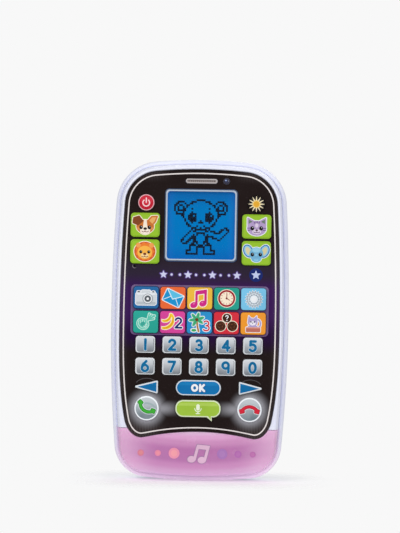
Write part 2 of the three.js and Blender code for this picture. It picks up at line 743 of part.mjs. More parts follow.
const slot = solid(plate(moveLoop(pill(EARPIECE.width - 1.6, 0.9), 0, EARPIECE.z), -20, -13.3));
const bar = solid(plate(earpieceLoop, PANEL_FRONT - 0.2, PANEL_BACK - 0.1)).subtract(slot);
addPart("earpiece_grille", bar, "silver");
const lens = [[0, PANEL_FRONT - 0.25], [1, PANEL_FRONT - 0.15], [1.6, PANEL_FRONT + 0.1]];
lens.push([1.6, PANEL_BACK - 0.1], [0, PANEL_BACK - 0.1]);
addPart("camera_lens", turned(lens, CAMERA.x, CAMERA.z, 14), "black");

const membraneLoop = panelAt(-3.2);
const membraneHole = moveLoop(roundedRectangle(43, 45, 1.5), 0, SCREEN.z);
const membrane = solid(plate(membraneLoop, MEMBRANE_FRONT, MEMBRANE_BACK, [membraneHole]));
addPart("keypad_membrane", membrane.intersect(under(152.2)), "rubber");
addPart("main_board", mainBoard(), "board");
addPart("chin_light_board", chinLightBoard(), "board");
addPart("speaker", speakerBody(), "speaker");

addPart("battery_cover", batteryCover(), "lavender");
const coverScrew = { head: 0.8, headRadius: 2.7, headFront: 14.1, shankRadius: 1.3, shankFront: 7.5 };
addPart("battery_cover_screw", screw(0, COVER_SCREW_Z, coverScrew), "steel");
addPart("battery_left", battery(-BATTERY.x, CONTACT_TOP - REST_GAP, 1), "battery");
const rightNub = CONTACT_BOTTOM + CONTACT_THICKNESS + REST_GAP;
addPart("battery_right", battery(BATTERY.x, rightNub, -1), "battery");
addPart("battery_link_contact", linkContact(), "steel");
addPart("battery_positive_contact", contactPlate(-11, -1.6, CONTACT_TOP), "steel");
addPart("battery_negative_contact", negativeContact(), "steel");

const housingScrew = {
  head: 1.9,
  headRadius: 2.7,
  headFront: SCREW_SEAT_Y + 0.2,
  shankRadius: 1.25,
  shankFront: -9.6,
};
const corners = { top: TOP_SCREW, bottom: CHIN_SCREW };
for (const [level, { x, z }] of Object.entries(corners)) {
  addPart(`housing_screw_${level}_left`, screw(-x, z, housingScrew), "steel");
  addPart(`housing_screw_${level}_right`, screw(x, z, housingScrew), "steel");
}

const speakerLead = [v3(6, -6.2, 112), v3(7, -4.5, 113), v3(10, 0, 116), v3(7, 2.4, 121), v3(4, 2.6, 125)];
const batteryLead = [v3(-24, -6.2, 78), v3(-23, -4, 80), v3(-19, 0, 84), v3(-15.8, 3, 86)];
const lightLead = [v3(-12, -6.9, 14), v3(-12, -5, 18), v3(-13, -3.6, 26), v3(-14, -6.2, 34)];
addPart("speaker_lead", outwardClean(wire(speakerLead, 0.6, 14)), "wire");
addPart("battery_lead", outwardClean(wire(batteryLead, 0.6, 12)), "wire");
addPart("light_lead", outwardClean(wire(lightLead, 0.6, 14)), "wire");

export default phone;
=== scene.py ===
import math

import bmesh
import bpy
import numpy as np
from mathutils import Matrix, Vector
from mathutils.geometry import tessellate_polygon


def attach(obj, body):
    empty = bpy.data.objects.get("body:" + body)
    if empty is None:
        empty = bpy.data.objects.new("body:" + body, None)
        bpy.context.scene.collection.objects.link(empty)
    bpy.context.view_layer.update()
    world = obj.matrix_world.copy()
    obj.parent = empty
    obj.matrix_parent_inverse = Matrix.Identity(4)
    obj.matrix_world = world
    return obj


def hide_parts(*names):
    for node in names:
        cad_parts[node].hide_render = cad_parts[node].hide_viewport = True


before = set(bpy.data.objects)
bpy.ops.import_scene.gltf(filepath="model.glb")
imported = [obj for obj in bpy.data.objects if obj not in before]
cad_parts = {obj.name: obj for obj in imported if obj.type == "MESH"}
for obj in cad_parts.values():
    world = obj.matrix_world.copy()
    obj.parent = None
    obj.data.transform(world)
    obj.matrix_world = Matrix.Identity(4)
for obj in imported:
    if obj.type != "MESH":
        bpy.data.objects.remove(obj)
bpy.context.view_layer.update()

# Everything below is in millimetres until a mesh is made. X is right, Y goes from the face to the
# back, Z is up. The outlines repeat the CAD's own radii and sizes, with more points.
MM = 0.001

FRONT_Y = -15.0
WAIST_Z, HALF_WIDTH, ABOVE_WAIST, BELOW_WAIST = 85.6, 47.5, 85.6, 85.9
UPPER = (1000, 240, 23.2)  # radii of side, end and corner
LOWER = (800, 270, 18)
PANEL_INSET, PANEL_DROP = 5.15, 0.5
SEAM_INSET = 2.75
PANEL_FRONT, PANEL_BACK = -13.6, -12.0
PANEL_FIT, KEY_FIT = 0.15, 0.2
LEDGE_FRONT, LEDGE_BACK = -11.9, -10.0
SEAM_FRONT, SEAM_REAR = -6.15, -5.85
CHIN_TOP_Z = 28.0
KEY_TOP = PANEL_FRONT - 1.3
KEY_EDGE = 0.45

COLUMNS = [(i - 2) * 14.25 for i in range(5)]
APP_ROWS, APP_SIZE, APP_CORNER = (97.2, 84.3), (13.3, 11.7), 1.5
DIGIT_ROWS, DIGIT_SIZE, DIGIT_CORNER = (72.35, 60.85), (10.3, 8.9), 1.6
ANIMAL_X, ANIMAL_ROWS, ANIMAL_SIZE, ANIMAL_CORNER = 29.55, (135.7, 121.6), (15.4, 12.8), 1.8
TOP_X, TOP_Z, TOP_RADIUS = 29.2, 147.6, 4.3
ARROW_X, ARROW_Z, ARROW_SIZE, ARROW_CORNER = 27.5, 49.85, (12.1, 6.8), 0.6
OK_Z, OK_SIZE = 49.75, (23.9, 8.1)
SPEECH_Z, SPEECH_SIZE, SPEECH_CORNER = 38.7, (24.0, 9.0), 4.1
CALL_X, CALL_Z, CALL_RADIUS = 27.3, 38.5, 6.5
SCREEN_Z, SCREEN_FRAME, SCREEN_GLASS = 135.9, 38.4, 35.9
EARPIECE_Z, CAMERA_X, CAMERA_Z = 159.4, 13.2, 159.5
PINHOLE = (-34.9, 113.8, 0.65)
COVER_SCREW_Z, SPEAKER_Z = 90.3, 126.0


# ---------------------------------------------------------------- materials

def linear(rgb):
    return [c / 255 / 12.92 if c <= 10 else ((c / 255 + 0.055) / 1.055) ** 2.4 for c in rgb]


def new_material(name):
    """A material, its shader, and the place of each shaded point in metres."""
    mat = bpy.data.materials.new(name)
    mat.use_nodes = True
    tree = mat.node_tree
    where = tree.nodes.new("ShaderNodeTexCoord").outputs["Object"]
    return mat, tree.nodes["Principled BSDF"], where


def feed(node, inputs):
    """Links the sockets and sets the numbers given for a node's inputs."""
    for name, value in inputs.items():
        if isinstance(value, bpy.types.NodeSocket):
            node.id_data.links.new(value, node.inputs[name])
        else:
            node.inputs[name].default_value = value


def add_node(kind, beside, inputs):
    """A new node in the tree that the socket beside it belongs to."""
    node = beside.id_data.nodes.new("ShaderNode" + kind)
    feed(node, inputs)
    return node


def noise(where, scale, detail=3.0):
    return add_node("TexNoise", where, {"Vector": where, "Scale": scale, "Detail": detail}).outputs["Fac"]


def wave(where, direction, scale, distortion=0.0):
    node = add_node("TexWave", where, {"Vector": where, "Scale": scale, "Distortion": distortion})
    node.bands_direction = direction
    return node.outputs["Fac"]


def remap(value, low, high, to_low, to_high, smooth=False):
    node = add_node("MapRange", value, {"Value": value, "From Min": low, "From Max": high,
        "To Min": to_low, "To Max": to_high})
    node.interpolation_type = "SMOOTHSTEP" if smooth else "LINEAR"
    return node.outputs["Result"]


def maths(operation, *values):
    node = add_node("Math", values[0], dict(enumerate(values)))
    node.operation = operation
    return node.outputs[0]


def times(a, b):
    return maths("MULTIPLY", a, b)


def beyond(value, size):
    """How far a value is past a size on either side of zero."""
    return maths("MAXIMUM", maths("SUBTRACT", maths("ABSOLUTE", value), size), 0.0)


def distance(a, b):
    return maths("SQRT", maths("ADD", times(a, a), times(b, b)))


def blend(share, a, b):
    sockets = [v for v in (share, a, b) if isinstance(v, bpy.types.NodeSocket)]
    node = add_node("Mix", sockets[0], {})
    node.data_type = "RGBA"
    a, b = ((*v[:3], 1) if isinstance(v, (list, tuple)) else v for v in (a, b))
    feed(node, {0: share, 6: a, 7: b})
    return node.outputs[2]


def ramp(value, stops):
    """A colour ramp over (place, sRGB) stops, with places in the value's own units."""
    low, high = stops[0][0], stops[-1][0]
    node = add_node("ValToRGB", value, {"Fac": remap(value, low, high, 0, 1)})
    node.color_ramp.interpolation = "EASE"
    elements = node.color_ramp.elements
    while len(elements) < len(stops):
        elements.new(0.5)
    for element, (place, rgb) in zip(elements, stops):
        element.position = (place - low) / (high - low)
        element.color = (*linear(rgb), 1)
    return node.outputs["Color"]


def axes(where):
    return add_node("SeparateXYZ", where, {0: where}).outputs


def surface(shader, where, rough, spread, grain, grain_scale):
    """Uneven gloss and a fine moulded grain."""
    feed(shader, {"Roughness": remap(noise(where, 90, 4), 0.3, 0.7, rough - spread, rough + spread)})
    if grain:
        bump = add_node("Bump", where, {"Strength": grain, "Distance": 0.00004,
            "Height": noise(where, grain_scale, 2)})
        feed(shader, {"Normal": bump.outputs["Normal"]})


def soften(shader, weight, radius, scale):
    """Lets light in under the surface."""
    feed(shader, {"Subsurface Weight": weight, "Subsurface Radius": radius, "Subsurface Scale": scale})


def plastic(name, rgb, rough=0.35, mottle=0.035, grain=0.15, specular=0.4, coat=0.0, glow=0.0,
            alpha=1.0, grain_scale=2600, soft=0.0):
    mat, shader, where = new_material(name)
    base = linear(rgb)
    light = [min(1, c * (1 + mottle) + 0.004) for c in base]
    dark = [c * (1 - mottle) for c in base]
    colour = blend(remap(noise(where, 60), 0.35, 0.65, 0, 1), dark, light)
    surface(shader, where, rough, 0.05, grain, grain_scale)
    feed(shader, {"Base Color": colour, "Specular IOR Level": specular, "Coat Weight": coat,
                  "Coat Roughness": 0.12, "Alpha": alpha})
    if soft:
        soften(shader, soft, (1.0, 0.7, 0.9), 0.002)
    if glow:
        feed(shader, {"Emission Color": colour, "Emission Strength": glow})
    return mat


inks = {}


def ink(rgb, glow=0.0, rough=0.38):
    """Printed ink of one colour, made once and shared; the painted highlights are made of it too."""
    key = (*rgb, glow, rough)
    if key not in inks:
        name = "ink_%03d_%03d_%03d" % tuple(rgb) + ("_lit" if glow else "")
        inks[key] = plastic(name, rgb, rough=rough, mottle=0.05, grain=0.1, specular=0.14, glow=glow)
    return inks[key]


def lavender_material():
    mat, shader, where = new_material("lavender_shell")
    cloud = remap(noise(where, 35, 4), 0.3, 0.7, 0, 1)
    colour = blend(cloud, linear((227, 229, 246)), linear((233, 235, 250)))
    # Faint scuffs collect on the outermost edges.
    edge = add_node("NewGeometry", where, {}).outputs["Pointiness"]
    worn = times(remap(edge, 0.52, 0.6, 0, 0.5), noise(where, 900, 5))
    colour = blend(worn, colour, linear((240, 240, 250)))
    # Painted glow: near the bottom, a pink tint and extra emission stand in for the lit chin's light on
    # the rim beside and below it.
    _, y, z = axes(where)
    low = times(remap(z, 0.006, 0.027, 1, 0, True), remap(y, -0.003, 0.004, 1, 0, True))
    colour = blend(times(low, 0.85), colour, linear((224, 198, 221)))
    surface(shader, where, 0.3, 0.05, 0.12, 2200)
    # A faint emission over the whole shell is painted light that brightens its grooves.
    feed(shader, {"Base Color": colour, "Emission Color": colour, "Specular IOR Level": 0.45,
                  "Emission Strength": remap(low, 0, 1, 0.05, 0.2)})
    soften(shader, 0.25, (0.9, 0.9, 1.0), 0.002)
    return mat


def chin_material():
    """Milky pink plastic lit from inside: deepest in a band behind the icons, pale at its rims, with a
    painted highlight along its top rim.
    """
    mat, shader, where = new_material("lit_pink_chin")
    x, _, z = axes(where)
    # The band follows the bottom edge, which rises towards the corners.
    level = maths("SUBTRACT", z, times(times(x, x), 3.0))
    # The palest stop at the top is a painted highlight along the lip under the faceplate.
    colour = ramp(level, [(0.002, (202, 172, 204)), (0.0045, (198, 152, 190)), (0.008, (190, 128, 176)),
        (0.0115, (174, 108, 162)), (0.0165, (176, 107, 162)), (0.0205, (196, 135, 180)),
        (0.0235, (212, 158, 198)), (0.0265, (218, 184, 212))])
    side = maths("ABSOLUTE", x)
    colour = blend(remap(side, 0.018, 0.046, 0, 0.7, True), colour, linear((226, 184, 214)))
    cloud = remap(noise(where, 45, 4), 0.3, 0.7, 0, 0.08)
    colour = blend(cloud, colour, linear((236, 200, 230)))
    surface(shader, where, 0.24, 0.04, 0.08, 1800)
    feed(shader, {"Base Color": colour, "Emission Color": colour, "Emission Strength": 0.13})
    soften(shader, 0.35, (1.0, 0.6, 0.9), 0.003)
    return mat


def faceplate_material():
    """Gloss black with a purple band, fine printed lines near its rim and a pale glow round the
    two call keys."""
    mat, shader, where = new_material("printed_faceplate")
    x, _, z = axes(where)
    black, purple, deep = (30, 20, 19), (56, 20, 82), (36, 6, 54)
    colour = ramp(z, [(0.056, black), (0.067, black), (0.077, deep), (0.089, purple), (0.101, purple),
        (0.111, (44, 34, 52)), (0.122, (36, 27, 29)), (0.131, black)])

    # Distance outside a rounded core, so the lines only show near the rim and in the corners.
    side = maths("ABSOLUTE", x)
    corner = distance(beyond(x, 0.03), beyond(maths("SUBTRACT", z, 0.0956), 0.055))
    near_rim = times(remap(corner, 0.007, 0.013, 0, 1, True), remap(side, 0.014, 0.028, 0, 0.2, True))
    lines = times(wave(where, "X", 380, 0.6), near_rim)
    colour = blend(lines, colour, linear((150, 140, 140)))

    # Pale glow: a halo round each call key and a soft bar between them.
    dx, dz = maths("SUBTRACT", side, CALL_X * MM), maths("SUBTRACT", z, CALL_Z * MM)
    halo = maths("POWER", remap(distance(dx, dz), 0.0065, 0.0124, 0.73, 0.0), 2.0)
    strip = remap(maths("ABSOLUTE", dz), 0.0, 0.005, 0.42, 0, True)
    strip = times(strip, remap(side, 0.01, 0.019, 0.3, 1.0, True))
    strip = times(strip, remap(side, 0.026, 0.033, 1.0, 0.0, True))
    colour = blend(maths("MAXIMUM", halo, strip), colour, linear((214, 214, 222)))

    speck = remap(noise(where, 1500, 2), 0.62, 0.75, 0, 0.25)
    colour = blend(speck, colour, linear((70, 60, 66)))
    surface(shader, where, 0.3, 0.06, 0.05, 1500)
    feed(shader, {"Base Color": colour, "Specular IOR Level": 0.1})
    return mat


def app_panel_material():
    mat, shader, where = new_material("app_panel_film")
    x, _, z = axes(where)
    colour = ramp(z, [(0.077, (92, 62, 112)), (0.086, (74, 46, 98)), (0.099, (76, 52, 102)),
        (0.105, (116, 98, 134))])
    side = maths("ABSOLUTE", x)
    colour = blend(remap(side, 0.033, 0.037, 0, 0.4, True), colour, linear((140, 122, 160)))
    cloud = remap(noise(where, 120), 0.35, 0.65, 0, 0.15)
    colour = blend(cloud, colour, linear((120, 100, 150)))
    surface(shader, where, 0.35, 0.05, 0.1, 1500)
    feed(shader, {"Base Color": colour, "Specular IOR Level": 0.2})
    return mat


def screen_material():
    mat, shader, where = new_material("lit_blue_screen")
    x, _, z = axes(where)
    colour = ramp(z, [(0.118, (6, 90, 158)), (0.127, (0, 102, 164)), (0.143, (0, 104, 164)),
        (0.154, (10, 86, 146))])
    side = maths("ABSOLUTE", x)
    colour = blend(remap(side, 0.013, 0.018, 0, 0.4, True), colour, linear((34, 96, 176)))
    # The display's own grid of cells.
    for direction in ("X", "Z"):
        cells = remap(wave(where, direction, 420), 0.0, 0.2, 0.1, 0.0)
        colour = blend(cells, colour, linear((6, 90, 170)))
    surface(shader, where, 0.4, 0.05, 0.0, 1500)
    feed(shader, {"Base Color": colour, "Emission Color": colour, "Emission Strength": 0.5,
                  "Specular IOR Level": 0.03})
    return mat


def brushed_metal(name, rgb, rough=0.32):
    mat, shader, where = new_material(name)
    stretch = add_node("Mapping", where, {"Vector": where, "Scale": (1, 1, 14)})
    streak = noise(stretch.outputs["Vector"], 700, 4)
    base = linear(rgb)
    colour = blend(remap(streak, 0.3, 0.7, 0, 1), [c * 0.82 for c in base], base)
    gloss = remap(streak, 0.3, 0.7, rough - 0.08, rough + 0.1)
    feed(shader, {"Base Color": colour, "Roughness": gloss, "Metallic": 1.0})
    return mat


def silver_print(name, z_levels, rgb_low, rgb_high):
    """Metallic-looking print that brightens from the lower to the upper edge of each row."""
    mat, shader, where = new_material(name)
    z = axes(where)[2]
    rows = [ramp(z, [(low, rgb_low), (high, rgb_high)]) for low, high in z_levels]
    colour = rows[0]
    for (low, _), row in zip(z_levels[1:], rows[1:]):
        colour = blend(maths("GREATER_THAN", z, low - 0.0008), colour, row)
    cloud = remap(noise(where, 160), 0.35, 0.65, 0, 0.16)
    colour = blend(cloud, colour, linear((214, 220, 224)))
    surface(shader, where, 0.34, 0.05, 0.08, 1500)
    feed(shader, {"Base Color": colour, "Specular IOR Level": 0.4})
    return mat


# ---------------------------------------------------------------- outlines, as N x 2 arrays

def arc(centre, radius, start, end, count):
    a = np.linspace(start, end, count + 1)
    return np.column_stack((centre[0] + radius * np.cos(a), centre[1] + radius * np.sin(a)))


def offset(loop, distance):
    ahead = np.roll(loop, -1, 0) - loop
    ahead /= np.linalg.norm(ahead, axis=1)[:, None]
    behind = np.roll(ahead, 1, 0)
    normal = np.column_stack((ahead[:, 1] + behind[:, 1], -ahead[:, 0] - behind[:, 0]))
    normal /= np.linalg.norm(normal, axis=1)[:, None]
    across = normal[:, 0] * ahead[:, 1] - normal[:, 1] * ahead[:, 0]
    return loop + normal * (distance / np.maximum(across, 0.5))[:, None]


STEPS = {"side": 18, "corner": 18, "end": 18}


def rounded_end(radii, height, inset):
    side, end, corner = radii
    side_centre = np.array((HALF_WIDTH - side, 0.0))
    end_centre = np.array((0.0, height - end))
    span = np.linalg.norm(end_centre - side_centre)
    unit = (end_centre - side_centre) / span
    along = ((side - corner) ** 2 - (end - corner) ** 2 + span**2) / (2 * span)
    off = math.sqrt((side - corner) ** 2 - along**2)
    centre = side_centre + unit * along + np.array((-unit[1], unit[0])) * off
    from_side, from_end = centre - side_centre, centre - end_centre
    a, b = math.atan2(from_side[1], from_side[0]), math.atan2(from_end[1], from_end[0])
    return [arc(side_centre, side - inset, 0, a, STEPS["side"]),
            arc(centre, corner - inset, a, b, STEPS["corner"]),
            arc(end_centre, end - inset, b, math.pi / 2, STEPS["end"])]


def closed(upper, lower):
    def chain(arcs):
        return np.vstack([arcs[0]] + [a[1:] for a in arcs[1:]])

    right = np.vstack((chain(lower)[::-1], chain(upper)[1:]))
    left = right[1:-1][::-1] * (-1, 1)
    return np.vstack((right, left)) + (0, WAIST_Z)


def silhouette(inset):
    below = [a * (1, -1) for a in rounded_end(LOWER, BELOW_WAIST, inset)]
    return closed(rounded_end(UPPER, ABOVE_WAIST, inset), below)


def bezier(a, b, c, d, count):
    t = np.linspace(0, 1, count + 1)[:, None]
    a, b, c, d = (np.array(p, float) for p in (a, b, c, d))
    return a * (1 - t) ** 3 + 3 * b * (1 - t) ** 2 * t + 3 * c * (1 - t) * t**2 + d * t**3


def panel_outline():
    w = HALF_WIDTH - PANEL_INSET
    waist, shoulder, lobe, middle = (w, 0), (38.9, -53.1), (30, -62.5), (0, -59.1)
    return closed(rounded_end(UPPER, ABOVE_WAIST - PANEL_DROP, PANEL_INSET), [
        bezier(waist, (w, -15), (42.5, -35.5), shoulder, STEPS["side"]),
        bezier(shoulder, (37.9, -57.9), (34.6, lobe[1]), lobe, STEPS["corner"]),
        bezier(lobe, (27.6, lobe[1]), (16.8, middle[1]), middle, STEPS["end"])])


PANEL = panel_outline()


def panel_at(distance):
    return offset(PANEL, distance)


def rounded(width, height, radius, steps=8, x=0.0, z=0.0):
    ex, ez = width / 2 - radius, height / 2 - radius
    quarter = math.pi / 2
    corners = [(ex, -ez), (ex, ez), (-ex, ez), (-ex, -ez)]
    loops = [arc(c, radius, (i - 1) * quarter, i * quarter, steps) for i, c in enumerate(corners)]
    loop = np.vstack(loops)
    gap = np.linalg.norm(loop - np.roll(loop, 1, 0), axis=1)
    return loop[gap > 1e-6] + (x, z)


def ring_of(radius, sides=56, rz=None):
    a = np.linspace(0, 2 * math.pi, sides, endpoint=False)
    return np.column_stack((radius * np.cos(a), (rz or radius) * np.sin(a)))


def pill(width, height, steps=12):
    return rounded(width, height, height / 2 - 1e-4, steps)


# ---------------------------------------------------------------- flat shapes as distance fields

def grid(width, height, step=0.09):
    xs = np.arange(-width / 2 - 3 * step, width / 2 + 3.5 * step, step)
    zs = np.arange(-height / 2 - 3 * step, height / 2 + 3.5 * step, step)
    return np.meshgrid(xs, zs, indexing="ij")


def turned(g, x, z, turn):
    c, s = math.cos(math.radians(turn)), math.sin(math.radians(turn))
    u, v = g[0] - x, g[1] - z
    return c * u + s * v, -s * u + c * v


def oval(g, x, z, rx, rz=None, turn=0):
    rz = rz or rx
    u, v = turned(g, x, z, turn)
    k = np.hypot(u / rx, v / rz)
    return k * (k - 1) / np.maximum(np.hypot(u / rx**2, v / rz**2), 1e-6)


def bar(g, x, z, w, h, r=0.0, turn=0):
    u, v = turned(g, x, z, turn)
    qx, qz = np.abs(u) - w / 2 + r, np.abs(v) - h / 2 + r
    return np.hypot(np.maximum(qx, 0), np.maximum(qz, 0)) + np.minimum(np.maximum(qx, qz), 0) - r


def stroke(g, points, width):
    best = np.full(g[0].shape, 1e3)
    for (ax, az), (bx, bz) in zip(points[:-1], points[1:]):
        dx, dz = bx - ax, bz - az
        t = np.clip(((g[0] - ax) * dx + (g[1] - az) * dz) / max(dx * dx + dz * dz, 1e-9), 0, 1)
        best = np.minimum(best, np.hypot(g[0] - ax - t * dx, g[1] - az - t * dz))
    return best - width / 2


def poly(g, points, r=0.0):
    """A filled polygon with its corners rounded by r."""
    points = list(points)
    inside = np.zeros(g[0].shape, bool)
    for (ax, az), (bx, bz) in zip(points, points[1:] + points[:1]):
        if az == bz:
            continue
        crossing = (az > g[1]) != (bz > g[1])
        inside ^= crossing & (g[0] < (bx - ax) * (g[1] - az) / (bz - az) + ax)
    edge = stroke(g, points + points[:1], 0)
    return np.where(inside, -edge, edge) - r


def curve(x, z, rx, rz, start, end, count=14):
    a = np.radians(np.linspace(start, end, count + 1))
    return list(zip(x + rx * np.cos(a), z + rz * np.sin(a)))


def both(*fields):
    return np.minimum.reduce(fields)


def twins(shape, g, x, *rest):
    """The same shape at -x and at x."""
    return both(shape(g, -x, *rest), shape(g, x, *rest))


def fan(g, x, z, degrees, near, far, width):
    """Strokes that spread out from a point, between two distances of it."""
    rays = [(math.cos(a), math.sin(a)) for a in np.radians(degrees)]
    return both(*[stroke(g, [(x + near * c, z + near * s), (x + far * c, z + far * s)], width)
                  for c, s in rays])


def star(g, x, inner, outer, r):
    """A five-pointed star centred at (x, 0)."""
    a = np.radians(np.arange(10) * 36 + 90)
    reach = np.where(np.arange(10) % 2, inner, outer)
    return poly(g, list(zip(x + reach * np.cos(a), reach * np.sin(a))), r)


def common(*fields):
    return np.maximum.reduce(fields)


def cut(field, *others):
    return np.maximum.reduce([field] + [-o for o in others])


CASES = {1: [(0, 3)], 2: [(1, 0)], 3: [(1, 3)], 4: [(2, 1)], 5: [(0, 3), (2, 1)], 6: [(2, 0)],
         7: [(2, 3)], 8: [(3, 2)], 9: [(0, 2)], 10: [(1, 0), (3, 2)], 11: [(1, 2)], 12: [(3, 1)],
         13: [(0, 1)], 14: [(3, 0)]}


def contours(g, field):
    """Loops round the negative part of a field, anticlockwise, and clockwise round its holes."""
    field = field.copy()
    field[[0, -1], :] = np.maximum(field[[0, -1], :], 0.05)
    field[:, [0, -1]] = np.maximum(field[:, [0, -1]], 0.05)
    field[np.abs(field) < 1e-5] = 1e-5
    xs, zs = g[0][:, 0], g[1][0]
    low = field < 0
    code = low[:-1, :-1] * 1 + low[1:, :-1] * 2 + low[1:, 1:] * 4 + low[:-1, 1:] * 8
    follow = {}
    for i, j in zip(*np.nonzero((code > 0) & (code < 15))):
        i, j = int(i), int(j)
        edges = ((i, j, 0), (i + 1, j, 1), (i, j + 1, 0), (i, j, 1))
        for a, b in CASES[int(code[i, j])]:
            follow[edges[a]] = edges[b]

    def place(edge):
        i, j, upright = edge
        a = field[i, j]
        b = field[i, j + 1] if upright else field[i + 1, j]
        t = a / (a - b)
        if upright:
            return xs[i], zs[j] + t * (zs[j + 1] - zs[j])
        return xs[i] + t * (xs[i + 1] - xs[i]), zs[j]

    loops = []
    while follow:
        start, here = follow.popitem()
        loop = [place(start)]
        while here != start:
            loop.append(place(here))
            here = follow.pop(here)
        loop = simplify(np.array(loop))
        if len(loop) >= 3:
            loops.append(loop)
    return loops


def simplify(loop, tolerance=0.014):
    def keep(first, last):
        if last - first < 2:
            return []
        a, b = loop[first], loop[last % len(loop)]
        span = b - a
        size = np.linalg.norm(span)
        rest = loop[first + 1:last] - a
        away = np.linalg.norm(rest, axis=1)
        if size > 1e-9:
            away = np.abs(rest[:, 0] * span[1] - rest[:, 1] * span[0]) / size
        worst = int(np.argmax(away))
        if away[worst] < tolerance:
            return []
        middle = first + 1 + worst
        return keep(first, middle) + [middle] + keep(middle, last)

    half = len(loop) // 2
    order = [0] + keep(0, half) + [half] + keep(half, len(loop))
    return loop[order]


def area(loop):
    ahead = np.roll(loop, -1, 0)
    return float(np.sum(loop[:, 0] * ahead[:, 1] - ahead[:, 0] * loop[:, 1])) / 2


def owner(hole, loops):
    """The smallest anticlockwise loop round a hole."""
    x, z = hole[0]
    best = None
    for loop in loops:
        size = area(loop)
        if size <= 0 or (best is not None and size > area(best)):
            continue
        ahead = np.roll(loop, -1, 0)
        crossing = (loop[:, 1] > z) != (ahead[:, 1] > z)
        with np.errstate(divide="ignore", invalid="ignore"):
            at = loop[:, 0] + (ahead[:, 0] - loop[:, 0]) * (z - loop[:, 1]) / (ahead[:, 1] - loop[:, 1])
        if np.count_nonzero(crossing & (x < at)) % 2:
            best = loop
    return best


# ---------------------------------------------------------------- meshes

class Piece:
    """Gathers closed shells, each with its own material, into one object."""

    def __init__(self, name):
        self.name, self.verts, self.faces, self.slots, self.mats = name, [], [], [], []

    def shell(self, verts, faces, mat):
        if mat not in self.mats:
            self.mats.append(mat)
        base = len(self.verts)
        self.verts.extend(verts)
        self.faces.extend([tuple(base + i for i in f) for f in faces])
        self.slots.extend([self.mats.index(mat)] * len(faces))

    def loft(self, rings, mat, tube=False, centre=(0, 0)):
        """Skins (loop, y) rings, y being one number or one for each point, with flat ends unless
        the skin closes on itself as a tube."""
        n = len(rings[0][0])
        verts = [(p[0] + centre[0], depth, p[1] + centre[1])
                 for loop, y in rings for p, depth in zip(loop, np.broadcast_to(y, (n,)))]
        faces = []
        for band in range(len(rings) if tube else len(rings) - 1):
            a, b = band * n, (band + 1) % len(rings) * n
            faces += [(a + i, b + i, b + (i + 1) % n, a + (i + 1) % n) for i in range(n)]
        if not tube:
            faces += [tuple(range(n)), tuple(range(len(verts) - 1, len(verts) - 1 - n, -1))]
        self.shell(verts, faces, mat)

    def slab(self, loops, front, back, mat, centre=(0, 0)):
        """Flat plates bounded by anticlockwise loops, with clockwise ones as holes."""
        loops = [np.asarray(loop) + centre for loop in loops]
        for outer in (loop for loop in loops if area(loop) > 0):
            holes = [h for h in loops if area(h) <= 0 and owner(h, loops) is outer]
            self.plate([outer] + holes, front, back, mat)

    def plate(self, loops, front, back, mat):
        flat = [[(p[0], p[1], 0) for p in loop] for loop in loops]
        triangles = tessellate_polygon(flat)
        points = [p for loop in flat for p in loop]
        n = len(points)
        verts = [(p[0], front, p[1]) for p in points] + [(p[0], back, p[1]) for p in points]
        faces = [tuple(t) for t in triangles] + [(n + a, n + c, n + b) for a, b, c in triangles]
        start = 0
        for loop in flat:
            k = len(loop)
            faces += [(start + i, start + (i + 1) % k, n + start + (i + 1) % k, n + start + i)
                for i in range(k)]
            start += k
        self.shell(verts, faces, mat)

    def lathe(self, profile, x, z, mat, sides=40):
        """A body of revolution about a line along Y; the profile is (radius, y) pairs."""
        rings = [(ring_of(max(r, 0.01), sides), y) for r, y in profile]
        self.loft(rings, mat, centre=(x, z))

    def prints(self, layers, g, surface_y, centre, first=0.03, step=0.03):
        """Stacks thin layers of a colour or a material on a surface that faces -Y."""
        for i, (paint, field) in enumerate(layers):
            mat = ink(paint) if isinstance(paint, tuple) else paint
            self.slab(contours(g, field), surface_y - first - step * i, surface_y + 0.02, mat, centre)

    def make(self, body=None, stands_for=(), slot=None, sharp=34):
        mesh = bpy.data.meshes.new(self.name)
        mesh.from_pydata([(x * MM, y * MM, z * MM) for x, y, z in self.verts], [], self.faces)
        for mat in self.mats:
            mesh.materials.append(mat)
        mesh.polygons.foreach_set("material_index", self.slots)
        work = bmesh.new()
        work.from_mesh(mesh)
        bmesh.ops.recalc_face_normals(work, faces=work.faces)
        work.to_mesh(mesh)
        work.free()
        mesh.shade_smooth()
        mesh.set_sharp_from_angle(angle=math.radians(sharp))
        obj = bpy.data.objects.new(self.name, mesh)
        bpy.context.scene.collection.objects.link(obj)
        if body:
            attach(obj, body)
        if stands_for:
            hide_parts(*stands_for)
        return obj


def smooth_rings(rings, count):
    """More rings on a smooth curve through the given ones."""
    stack = np.array([np.column_stack((loop, np.full(len(loop), y))) for loop, y in rings])
    last = len(stack) - 1
    out = []
    for s in np.linspace(0, last, count):
        i = min(int(s), last - 1)
        t = s - i
        p0, p1, p2, p3 = (stack[min(max(i + k, 0), last)] for k in (-1, 0, 1, 2))
        p = 0.5 * (2 * p1 + (p2 - p0) * t + (2 * p0 - 5 * p1 + 4 * p2 - p3) * t**2
                   + (3 * p1 - p0 - 3 * p2 + p3) * t**3)
        out.append((p[:, :2], p[:, 2]))
    return out


def slice_object(obj, z, keep_above):
    """Cuts a closed mesh at a level and closes the cut."""
    work = bmesh.new()
    work.from_mesh(obj.data)
    result = bmesh.ops.bisect_plane(
        work, geom=work.verts[:] + work.edges[:] + work.faces[:], plane_co=(0, 0, z * MM),
        plane_no=(0, 0, 1), clear_inner=keep_above, clear_outer=not keep_above)
    edges = [e for e in result["geom_cut"] if isinstance(e, bmesh.types.BMEdge)]
    bmesh.ops.edgeloop_fill(work, edges=edges)
    bmesh.ops.recalc_face_normals(work, faces=work.faces)
    work.to_mesh(obj.data)
    work.free()
    obj.data.shade_smooth()
    obj.data.set_sharp_from_angle(angle=math.radians(34))


# ---------------------------------------------------------------- casing

